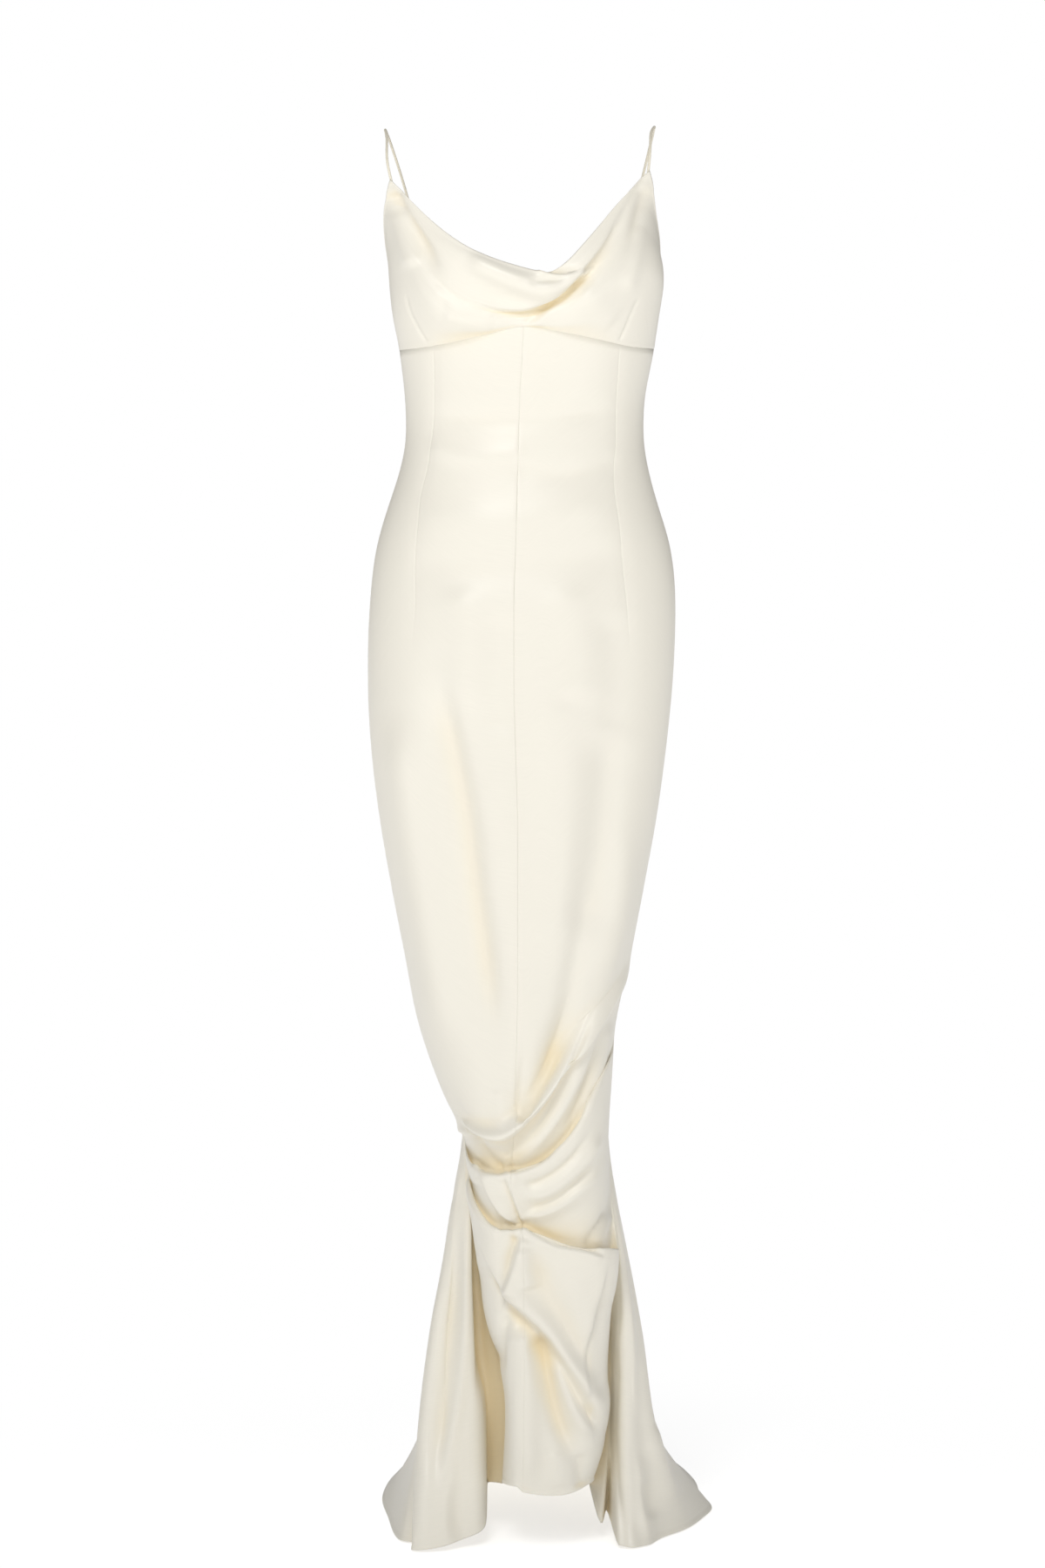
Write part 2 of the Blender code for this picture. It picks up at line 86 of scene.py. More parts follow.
class Fold(Enum):
    """How cloth is shaped along a crease."""

    SOFT = "soft"
    STEP = "step"


class Held(Enum):
    """How a panel of cloth is held."""

    DRAPED = "draped"
    HUNG = "hung"


@dataclass(frozen=True)
class Section:
    """Where the tube passes one height, and how square its quarters are, where 2 is an ellipse."""

    height: float
    left_x: float
    right_x: float
    seam_y: float
    centre_x: float
    front_y: float
    back_y: float
    left_full: float = 2.2
    right_full: float = 2.2
    back_full: float = 2.0


# The order of a section's values.
HEIGHT, LEFT_X, RIGHT_X, SEAM_Y, CENTRE_X, FRONT_Y, BACK_Y, LEFT_FULL, RIGHT_FULL, BACK_FULL = range(10)


@dataclass(frozen=True)
class Course:
    """One line of cloth round the dress: its heights across the front and at the centre back, how far it
    stands out, and how many fine rows lead down to the next course."""

    name: str
    heights: tuple[float, ...]
    centre_back: float
    out: tuple[float, ...] = (0, 0, 0, 0, 0, 0, 0)
    stations: tuple[float, ...] = STATIONS
    rows: int = 20
    corners: tuple[float, ...] = ()


@dataclass(frozen=True)
class Rib:
    """A line down a flare or the train, at one place from the side seam, 0, to the centre back, 1."""

    place: float
    calf: tuple[float, float, float]
    ankle: tuple[float, float, float]
    hem: tuple[float, float, float]


@dataclass(frozen=True)
class Wave:
    """A soft wave in the cloth: its place, its half width, and how far out it stands."""

    place: float
    width: float
    out: float


@dataclass(frozen=True)
class Crease:
    """A crease: its points in x and z, its half width, how far out it stands or lifts its one side, and the
    shares of its length over which its ends fade."""

    points: tuple[tuple[float, float], ...]
    width: float
    out: float
    fold: Fold = Fold.SOFT
    begin: float = 0.18
    end: float = 0.18


SECTIONS = (
    Section(-40, -176, 164, 0, 2, -110, 84),
    Section(-95, -151, 144.5, 0, 2, -116, 84),
    Section(-138, -141, 144.5, 0, 2, -120, 83),
    Section(-190, -136, 142, 0, 2, -112, 79),
    Section(-230, -129.5, 138.5, 0, 0, -101, 74),
    Section(-284, -123.2, 128, 0, -3, -94, 67),
    Section(-321, -122.3, 127, 0, -4, -92, 66),
    Section(-358, -128.8, 132.5, 0, -5, -94, 73),
    Section(-395, -141, 142.7, 0, -6, -98, 88),
    Section(-431, -152, 154, 0, -7, -102, 103),
    Section(-505, -161.4, 161.4, 0, -9, -108, 118),
    Section(-579, -163.4, 158.8, 0, -9, -112, 116),
    Section(-653, -159.9, 151.6, 0, -7, -113, 104),
    Section(-727, -150.9, 141.6, 0, -5, -113, 96),
    Section(-802, -138, 128, 0, -5, -112, 90),
    Section(-876, -123.4, 114.1, 0, -5, -110, 83),
    Section(-951, -108.7, 98, 0, -6, -108, 77),
    Section(-988, -96.6, 94.5, 0, -7, -106, 74, 2.2, 2.4, 2.3),
    Section(-1026, -81.5, 92, 0, -7, -104, 71, 2.3, 2.6, 2.8),
    Section(-1063, -62.5, 90.5, 0, -9, -100, 69, 2.4, 3.0, 3.8),
    Section(-1100, -58, 92, -3, -13, -97, 68, 2.4, 3.4, 3.8),
    Section(-1150, -53, 93, -5, 0, -94, 68, 2.6, 4.0, 3.8),
    Section(-1210, -47, 92.5, -9, 2, -95, 68, 2.8, 4.0, 3.8),
    Section(-1255, -40, 91.5, -12, 2, -96, 68, 3.0, 4.0, 3.8),
    Section(-1300, -27, 91, -15, 2, -99, 68, 3.0, 4.0, 3.8),
    Section(-1345, -17, 90.5, -18, 1, -103, 68, 3.0, 4.0, 3.8),
    Section(-1380, -17.5, 89.5, -19, 1, -106, 68, 3.0, 4.0, 3.8),
    Section(-1410, -20, 81, -18, 0, -109, 68, 3.0, 4.0, 3.8),
    Section(-1470, -23, 62, -16, 0, -114, 68, 3.0, 4.0, 3.8),
)

COURSES = (
    Course("neck_edge", (-138, -56, -91, -120, -149, -154, -115, -78, -47, -138), -185,
           (0, 0, 3, 6, 9, 9, 6, 3, 0, 0), NECK_STATIONS, 12, (-TIP, TIP)),
    Course("cowl_roll", (-144, -76, -120, -144, -163, -167, -133, -74, -144), -191,
           (0, 2, 8, 12, 16, 16, 12, 2, 0), BODICE_STATIONS, 22),
    Course("cowl_crease", (-156, -112, -160, -184, -192, -184, -152, -106, -156), -199,
           (0, 6, 10, 6, 2, 1, 2, 6, 0), BODICE_STATIONS, 22),
    Course("cup", (-178, -152, -182, -197, -200, -194, -176, -148, -178), -209,
           (0, 10, 18, 10, 2, 4, 15, 15, 0), BODICE_STATIONS, 22),
    Course("cup_lower", (-205, -192, -206, -210, -204, -206, -200, -190, -204), -220,
           (0, 8, 12, 6, 1, 3, 8, 8, 0), BODICE_STATIONS, 24),
    Course("raised_waist_seam", (-232, -230, -226, -218, -208, -213, -219, -229, -230.5), -232,
           (0,) * len(BODICE_STATIONS), BODICE_STATIONS, 36),
    Course("waist", (-322,) * len(STATIONS), -322, rows=38),
    Course("high_hip", (-430,) * len(STATIONS), -430, rows=38),
    Course("hip", (-545, -545, -545, -545, -542, -540, -540), -545, rows=44),
    Course("thigh", (-690, -690, -690, -690, -675, -662, -650), -690, rows=44),
    Course("low_thigh", (-835, -835, -835, -832, -795, -765, -735), -835, rows=40),
    Course("above_fold", (-965, -968, -965, -950, -892, -848, -800), -950, rows=40),
    Course("hollow", (-1042, -1034, -1030, -1020, -958, -902, -856), -1000, (0, 0, -1, -3, -6, -4, 0)),
    Course("lip_1", (-1061, -1053, -1053, -1043, -982, -925, -880), -1020, (0, 8, 12, 13, 13, 8, 0), rows=8),
    Course("under_1", (-1062, -1056, -1056.5, -1046.5, -986, -929, -884), -1028, (0, 4, 6.5, 7, 8, 5, 0),
           rows=12),
    Course("slope_1", (-1064, -1066, -1067, -1060, -1005, -947, -899), -1042, (0, -1, -3, -4, -2, -1, 0)),
    Course("inner_1", (-1067, -1086, -1091, -1089, -1056, -992, -936), -1064, (0, -6, -8, -9, -6, -2, 0),
           rows=10),
    Course("bottom_1", (-1070, -1099, -1104, -1102, -1076, -1010, -950), -1086, (0, -2, -3, -3, -2, -1, 0),
           rows=8),
    Course("lip_2", (-1073, -1087, -1090, -1086, -1062, -995, -962), -1110, (0, 3, 6, 7, 7, 4, 0), rows=6),
    Course("outer_2", (-1077, -1096, -1100, -1097, -1073, -1016, -984), -1134, (0, 5, 10, 11, 11, 6, 0)),
    Course("tier_2", (-1083, -1118, -1130, -1130, -1116, -1080, -1026), -1160, (0, 0, 2, 1, 4, 3, 0),
           rows=16),
    Course("inner_2", (-1090, -1138, -1154, -1150, -1154, -1152, -1150, -1078), -1186,
           (0, -2, -6, -8, -6, -5, -3, 0), LOW_STATIONS, 8),
    Course("bottom_2", (-1096, -1148, -1166, -1163, -1180, -1190, -1190, -1100), -1212,
           (0, -2, -3, -3, -1, 2, 2, 0), LOW_STATIONS, 8),
    Course("lip_3", (-1102, -1133, -1152, -1149, -1166, -1175, -1182, -1118), -1238,
           (0, 4, 7, 7, 10, 13, 10, 0), LOW_STATIONS, 6),
    Course("outer_3", (-1112, -1146, -1163, -1160, -1177, -1187, -1196, -1150), -1264,
           (0, 6, 10, 11, 13, 15, 8, 0), LOW_STATIONS, 46),
    Course("lower_front", (-1205, -1232, -1242, -1244, -1248, -1250, -1250, -1240), -1335,
           (0, 1, 2, 3, 4, 6, 3, 0), LOW_STATIONS, 46),
    Course("above_hem", (-1330, -1338, -1340, -1342, -1344, -1342, -1340), -1418, rows=36),
    Course("hem", (-1440, -1425, -1422, -1428, -1432, -1425, -1440), -1495),
)

RIBS = {
    Side.LEFT: (
        Rib(0.05, (-51, -6, -1255), (-37, -3, -1365), (-38, -1, -1443)),
        Rib(0.15, (-48, -34, -1262), (-42, -47, -1378), (-39, -56, -1474)),
        Rib(0.30, (-84, -38, -1268), (-82, -66, -1392), (-84, -90, -1491)),
        Rib(0.40, (-99, -14, -1270), (-113, -48, -1395), (-117, -87, -1495)),
        Rib(0.45, (-97, 0, -1270), (-108, -26, -1396), (-111, -60, -1495)),
        Rib(0.51, (-95, 14, -1270), (-113, -2, -1398), (-131, -42, -1495)),
        Rib(0.60, (-84, 42, -1270), (-110, 60, -1400), (-146, 70, -1495)),
        Rib(0.72, (-64, 70, -1275), (-94, 124, -1405), (-152, 222, -1495)),
        Rib(0.85, (-35, 88, -1278), (-60, 172, -1410), (-118, 395, -1495)),
        Rib(1.00, (0, 95, -1280), (0, 192, -1412), (0, 465, -1495)),
    ),
    Side.RIGHT: (
        Rib(0.05, (96, -16, -1262), (93, -18, -1385), (84, -40, -1478)),
        Rib(0.09, (98, -19, -1263), (95, -22, -1390), (90, -2, -1472)),
        Rib(0.15, (103, -27, -1264), (100, -36, -1395), (103, -76, -1493)),
        Rib(0.30, (117, -34, -1268), (121, -54, -1398), (133, -67, -1495)),
        Rib(0.42, (127, -4, -1270), (147, -22, -1400), (176, 6, -1495)),
        Rib(0.50, (122, 18, -1270), (149, 14, -1401), (195, 56, -1495)),
        Rib(0.60, (108, 44, -1270), (146, 62, -1403), (209, 120, -1495)),
        Rib(0.72, (86, 72, -1275), (130, 120, -1406), (195, 238, -1495)),
        Rib(0.85, (48, 88, -1278), (78, 170, -1410), (138, 395, -1495)),
        Rib(1.00, (0, 95, -1280), (0, 192, -1412), (0, 465, -1495)),
    ),
}

# The soft flutes of the flares and the train, placed from the side seam, as far out as they are at the hem.
FLUTES = {
    Side.LEFT: (Wave(0.235, 0.045, -8), Wave(0.35, 0.03, 3), Wave(0.66, 0.05, 4), Wave(0.78, 0.05, -8),
                Wave(0.92, 0.05, 6)),
    Side.RIGHT: (Wave(0.22, 0.04, 5), Wave(0.36, 0.04, -7), Wave(0.66, 0.05, -9), Wave(0.80, 0.05, 4),
                 Wave(0.92, 0.05, -8)),
}

# The relief beside a seam, a hem, the top edge and a long dart, by the distance from each.
SEAM = (Wave(0, 0.9, -0.2), Wave(3.2, 1.6, 0.12))
HEM = (Wave(2.2, 1.9, 0.5), Wave(5.4, 0.9, -0.35))
TOP_EDGE = (Wave(1.4, 1.4, 0.45),)
LONG_DART = (Wave(0, 0.9, -0.4), Wave(0, 8, -0.7))

FRONT_CREASES = (
    Crease(((-90, -560), (-79, -628), (-62, -713), (-51, -798), (-34, -913), (-26, -980)),
           16, -14, end=0.3),
    Crease(((-126, -600), (-120, -700), (-106, -790), (-88, -900), (-72, -965)), 20, 8),
    Crease(((-30, -640), (-18, -740), (-8, -850), (-4, -960)), 24, 4),
    Crease(((92, -620), (86, -700), (74, -790), (60, -850)), 22, -7),
    Crease(((112, -700), (104, -790), (92, -860), (76, -915), (52, -960)), 14, 6, begin=0.4),
    Crease(((22, -560), (34, -660), (36, -760), (24, -880)), 26, 5),
    Crease(((-100, -296), (-40, -306), (30, -302), (100, -290)), 12, -2.6),
    Crease(((-106, -330), (-50, -342), (10, -338)), 11, 2.4),
    Crease(((-20, -356), (40, -362), (106, -346)), 12, -2.4),
    Crease(((-118, -392), (-60, -408), (10, -404), (100, -390)), 16, 2.4),
    Crease(((-126, -440), (-60, -462), (20, -458), (120, -440)), 20, -3),
    Crease(((-66, -470), (-56, -540), (-62, -610)), 22, 4),
    Crease(((44, -470), (54, -540), (50, -600)), 24, 3.6),
    Crease(((-20, -500), (-26, -560), (-22, -640)), 22, -3.6),
    Crease(((92, -500), (98, -570), (94, -640)), 20, -2.6),
)
TUCK_CREASES = (
    Crease(((-66, -1040), (-57, -1047), (-39, -1054), (-20, -1055), (-4, -1046), (12, -1031), (26, -1014),
            (40, -992), (52, -968), (61, -949), (74, -922)), 3, 2.8, Fold.STEP, 0.05, 0.35),
    Crease(((-4, -1038), (3, -1026), (13, -1008), (25, -984), (41, -950), (52, -912), (60, -870)),
           6, -6, Fold.SOFT, 0.05, 0.6),
    Crease(((14, -1000), (30, -966), (42, -930), (52, -885), (61, -838), (68, -780)),
           12, -6, Fold.SOFT, 0.2, 0.5),
    Crease(((-80, -1000), (-63, -1034), (-40, -1043), (-14, -1036)), 6, -2, Fold.SOFT, 0.4, 0.2),
    Crease(((2, -950), (-2, -1000), (-5, -1036)), 5, -3.5, Fold.SOFT, 0.6, 0.1),
    Crease(((-26, -1000), (-22, -1022), (-26, -1044)), 8, 2.5),
    Crease(((-12, -1072), (4, -1060), (24, -1036), (42, -1004), (58, -968), (72, -934)),
           5, -3, Fold.STEP, 0.2, 0.4),
    Crease(((-2, -1078), (10, -1068), (34, -1036), (54, -1000), (70, -962), (82, -928)),
           6, 4, Fold.SOFT, 0.2, 0.3),
    Crease(((40, -1052), (58, -1022), (70, -990), (82, -950)), 5, -4, Fold.SOFT, 0.3, 0.3),
    Crease(((62, -1036), (76, -1000), (85, -965), (90, -935)), 6, 4),
    Crease(((-14, -1090), (-4, -1089), (22, -1078), (43, -1059), (55, -1044), (64, -1028), (72, -1011)),
           3, -3, Fold.STEP, 0.05, 0.35),
    Crease(((-52, -1084), (-42, -1091), (-29, -1092), (-17, -1090), (-6, -1088)),
           3, -3, Fold.STEP, 0.1, 0.05),
    Crease(((-50, -1054), (-40, -1072), (-28, -1083), (-16, -1087)), 6, -5),
    Crease(((0, -1104), (16, -1101), (36, -1090), (58, -1070), (76, -1042)), 5, -5, Fold.SOFT, 0.1, 0.4),
    Crease(((2, -1117), (24, -1113), (46, -1099), (68, -1077), (82, -1052)), 7, 5),
    Crease(((0, -1136), (18, -1131), (38, -1122), (60, -1106), (80, -1088)), 5, -5, Fold.STEP),
    Crease(((-44, -1094), (-36, -1116), (-22, -1138), (-4, -1150)), 3, 3, Fold.STEP, 0.1, 0.1),
    Crease(((-58, -1108), (-50, -1130), (-36, -1146), (-22, -1152)), 4, -3, Fold.STEP, 0.1, 0.1),
    Crease(((-18, -1094), (-12, -1112), (-6, -1130), (0, -1146)), 3, 3, Fold.STEP, 0.1, 0.1),
    Crease(((-28, -1152), (-14, -1151), (0, -1150), (16, -1158), (32, -1166), (49, -1170), (65, -1173),
            (86, -1181)), 3, -3, Fold.STEP, 0.1, 0.05),
    Crease(((66, -1169), (75, -1157), (84, -1145), (90, -1130)), 3, -4, Fold.SOFT, 0.1, 0.3),
    Crease(((76, -1172), (86, -1160), (93, -1146)), 5, 3),
)
LOWER_CREASES = (
    Crease(((-37, -1190), (-30, -1205), (-20, -1222), (-2, -1238), (21, -1261), (41, -1289), (64, -1326),
            (82, -1360), (90, -1374)), 7, 8, Fold.STEP, 0.12, 0.2),
    Crease(((-14, -1196), (-8, -1216), (10, -1234), (30, -1256), (50, -1290), (68, -1320), (82, -1345)),
           9, 5, Fold.SOFT, 0.15, 0.4),
    Crease(((-2, -1156), (-8, -1176), (-13, -1196), (-20, -1222)), 6, 7, Fold.STEP, 0.1, 0.15),
    Crease(((0, -1166), (2, -1190), (8, -1216)), 10, 6),
    Crease(((16, -1176), (24, -1208), (38, -1240), (58, -1280), (76, -1318)), 12, -5),
    Crease(((56, -1190), (60, -1230), (72, -1270)), 14, 2.5),
    Crease(((10, -1262), (20, -1280), (27, -1306), (34, -1336), (46, -1370), (62, -1400)),
           10, -13, Fold.SOFT, 0.1, 0.3),
    Crease(((32, -1286), (44, -1318), (57, -1348), (74, -1374)), 7, 7),
    Crease(((2, -1252), (3, -1310), (4, -1370), (6, -1424)), 14, 10, Fold.SOFT, 0.1, 0.2),
    Crease(((-17, -1240), (-22, -1270), (-24, -1295), (-25, -1315)), 7, -5, Fold.SOFT, 0.15, 0.3),
    Crease(((91, -1186), (82, -1226), (73, -1258), (67, -1292), (68, -1335), (74, -1370)),
           5, -3, Fold.STEP),
    Crease(((86, -1220), (82, -1280), (82, -1340)), 9, -3),
    Crease(((34, -1384), (38, -1425)), 9, 3),
    Crease(((60, -1388), (64, -1428)), 9, -5),
)
FLARE_CREASES = (
    Crease(((-58, -1112), (-60, -1180), (-62, -1255), (-65, -1305), (-71, -1356), (-82, -1404),
            (-92, -1440)), 7, 5, Fold.SOFT, 0.3, 0.3),
    Crease(((-66, -1140), (-73, -1200), (-77, -1250), (-83, -1330), (-89, -1390), (-98, -1440)),
           13, -15, Fold.SOFT, 0.4, 0.3),
    Crease(((-52, -1150), (-49, -1230), (-46, -1300), (-44, -1350)), 6, -6, Fold.SOFT, 0.4, 0.2),
    Crease(((-100, -1400), (-104, -1440), (-106, -1480)), 8, 2.5),
    Crease(((-72, -1430), (-70, -1480)), 9, -3),
    Crease(((112, -1300), (120, -1370), (124, -1420)), 10, -4),
    Crease(((104, -1250), (108, -1330), (110, -1400), (116, -1460)), 7, 3),
    Crease(((136, -1375), (152, -1420), (166, -1460)), 12, 4),
    Crease(((132, -1430), (142, -1470)), 9, -4),
    Crease(((166, -1420), (184, -1460)), 9, -3),
)
BODICE_CREASES = (
    Crease(((70, -150), (66, -154), (54, -164), (38, -178), (15, -188), (-6, -192), (-30, -190),
            (-56, -182)), 4, -5, Fold.STEP, 0.05, 0.4),
    Crease(((69, -150), (56, -163), (36, -181), (17, -200), (1, -208)), 4, 3, Fold.STEP, 0.05, 0.1),
    Crease(((66, -156), (46, -174), (26, -189), (4, -200)), 5, -1.5, Fold.SOFT, 0.1, 0.3),
    Crease(((4, -164), (19, -163), (36, -160), (62, -152)), 4, -3),
    Crease(((14, -150), (24, -154), (38, -155.5), (52, -153.5), (68, -149)), 2, -3.5, Fold.STEP, 0.1, 0.4),
    Crease(((-60, -138), (-34, -152), (-6, -164), (20, -172), (44, -168)), 9, 4.5),
    Crease(((-84, -196), (-56, -203), (-28, -205)), 8, 2.5),
    Crease(((-90, -178), (-60, -190), (-30, -200)), 10, -1.5),
    Crease(((-137, -66), (-122, -96), (-104, -124), (-82, -160)), 8, -8, Fold.SOFT, 0.1, 0.4),
    Crease(((-130, -84), (-122, -120), (-112, -150)), 9, 4),
    Crease(((131, -48), (116, -72), (100, -99), (90, -118), (76, -140)), 5, -2.5, Fold.SOFT, 0.1, 0.4),
    Crease(((129, -62), (118, -104), (109, -145)), 7, -4, Fold.SOFT, 0.1, 0.5),
    Crease(((122, -100), (116, -140), (108, -176)), 8, 2.5),
    Crease(((60, -172), (78, -190), (96, -206)), 14, 2),
)
BUST_DARTS = (
    Crease(((-121, -172), (-117, -192), (-105, -215), (-96, -229)), 1.6, -1.3),
    Crease(((121, -177), (114, -192), (105, -213), (99, -226)), 1.6, -1.3),
)

# Where the long darts lie across the front at each height, and the one column that each is led along.
DART_HEIGHTS = (-232, -270, -320, -380, -400, -460, -500, -545)
DARTS = {
    Side.LEFT: (-0.487, -0.505, -0.526, -0.536, -0.514, -0.478, -0.456, -0.470),
    Side.RIGHT: (0.500, 0.530, 0.541, 0.480, 0.474, 0.456, 0.470, 0.492),
}
DART_PLACE = 0.49

# The straps rise from the front tips, pass over the shoulder and come down to the back edge.
STRAP_POINTS = {
    Side.LEFT: ((-140.5, -62, -36), (-141.5, -38, -13), (-144, -6, -1.5), (-141, 24, -9), (-129, 50, -46),
                (-113, 62, -104)),
    Side.RIGHT: ((132.5, -60, -28), (134, -36, -7), (138.5, -5, 1.5), (137, 25, -7), (128, 50, -46),
                 (113, 62, -104)),
}


def spline(knots: Sequence, values: Sequence, query: np.ndarray, start: Sequence | None = None,
           end: Sequence | None = None) -> np.ndarray:
    """A smooth curve through the values at the knots, with no overshoot.

    Args:
        knots: Rising knot places.
        values: A value or a row of values at each knot.
        query: Where the curve is wanted.
        start: The slope at the first knot, if given.
        end: The slope at the last knot, if given.

    Returns:
        The curve's values at the query.
    """
    knots = np.asarray(knots, float)
    values = np.asarray(values, float)
    flat = values.reshape(len(knots), -1)
    gaps = np.diff(knots)[:, None]
    rise = np.diff(flat, axis=0) / gaps
    slopes = np.zeros_like(flat)
    slopes[0], slopes[-1] = rise[0], rise[-1]
    if len(knots) > 2:
        before, after = rise[:-1], rise[1:]
        mean = (before * gaps[1:] + after * gaps[:-1]) / (gaps[:-1] + gaps[1:])
        limit = 3 * np.minimum(abs(before), abs(after))
        slopes[1:-1] = np.where(before * after > 0, np.sign(mean) * np.minimum(abs(mean), limit), 0)
    if start is not None:
        slopes[0] = start
    if end is not None:
        slopes[-1] = end
    query = np.clip(np.asarray(query, float), knots[0], knots[-1])
    place = np.clip(np.searchsorted(knots, query, side="right") - 1, 0, len(knots) - 2)
    width = gaps[place]
    t = ((query - knots[place]) / width[..., 0])[..., None]
    found = (
        (2 * t**3 - 3 * t**2 + 1) * flat[place]
        + (t**3 - 2 * t**2 + t) * width * slopes[place]
        + (3 * t**2 - 2 * t**3) * flat[place + 1]
        + (t**3 - t**2) * width * slopes[place + 1]
    )
    return found.reshape(query.shape + values.shape[1:])


def unit(vectors: np.ndarray) -> np.ndarray:
    """Returns each vector at length one."""
    return vectors / np.maximum(np.linalg.norm(vectors, axis=-1, keepdims=True), TINY)


def eased(share: np.ndarray) -> np.ndarray:
    """Returns a share from 0 to 1 with a soft start and a soft end."""
    return share * share * (3 - 2 * share)


def mixed(values: np.ndarray) -> np.ndarray:
    """Returns the values between the first and the last, each mixed with its two neighbours."""
    return 0.25 * values[:-2] + 0.5 * values[1:-1] + 0.25 * values[2:]


def wave_height(waves: tuple[Wave, ...], place: np.ndarray) -> np.ndarray:
    """Returns how far out the waves stand at each place."""
    return sum(wave.out * np.exp(-(((place - wave.place) / wave.width) ** 2)) for wave in waves)


def nearest_on_path(points: Sequence, x: np.ndarray, z: np.ndarray) -> tuple[np.ndarray, ...]:
    """Finds how far each place lies from a path.

    Args:
        points: The path's points in x and z.
        x: The places' x.
        z: The places' z.

    Returns:
        The distance, the distance signed by side, and the share of the way along the path.
    """
    knots = np.arange(len(points), dtype=float)
    path = spline(knots, points, np.linspace(0, knots[-1], PATH_STEPS * len(points)))
    spans = np.linalg.norm(np.diff(path, axis=0), axis=1)
    reach = np.concatenate([[0], np.cumsum(spans)])
    nearest = np.full(x.shape, np.inf)
    signed = np.zeros(x.shape)
    share = np.zeros(x.shape)
    for a, b, begun, span in zip(path[:-1], path[1:], reach, spans):
        step = b - a
        along = np.clip(((x - a[0]) * step[0] + (z - a[1]) * step[1]) / span**2, 0, 1)
        dx, dz = x - a[0] - along * step[0], z - a[1] - along * step[1]
        away = np.hypot(dx, dz)
        closer = away < nearest
        nearest = np.where(closer, away, nearest)
        signed = np.where(closer, away * np.sign(step[0] * dz - step[1] * dx), signed)
        share = np.where(closer, (begun + along * span) / reach[-1], share)
    return nearest, signed, share


def crease_height(creases: tuple[Crease, ...], x: np.ndarray, z: np.ndarray) -> np.ndarray:
    """Adds up how far the creases move each place out, in millimetres.

    Args:
        creases: The creases.
        x: The places' x.
        z: The places' z.

    Returns:
        The distance out at each place.
    """
    out = np.zeros(x.shape)
    for crease in creases:
        nearest, signed, share = nearest_on_path(crease.points, x, z)
        fade = eased(np.clip(np.minimum(share / crease.begin, (1 - share) / crease.end), 0, 1))
        if crease.fold is Fold.STEP:
            shape = np.exp(-((nearest / (STEP_REACH * crease.width)) ** 2))
            shape *= np.tanh(signed / (STEP_TURN * crease.width))
        else:
            shape = np.exp(-((nearest / crease.width) ** 2))
        out += crease.out * (LEAST_FADE + (1 - LEAST_FADE) * fade) * shape
    return out


def softened(values: np.ndarray, spread: float) -> np.ndarray:
    """Blurs rows of evenly spaced values and keeps the first and the last.

    Args:
        values: Values along the first axis.
        spread: The blur's standard deviation, counted in values.

    Returns:
        The blurred values.
    """
    reach = int(BLUR_REACH * spread) + 1
    weights = np.exp(-0.5 * (np.arange(-reach, reach + 1) / spread) ** 2)
    weights /= weights.sum()
    before = 2 * values[:1] - values[reach:0:-1]
    after = 2 * values[-1:] - values[-2 : -reach - 2 : -1]
    padded = np.concatenate([before, values, after])
    return sum(w * padded[k : k + len(values)] for k, w in enumerate(weights))


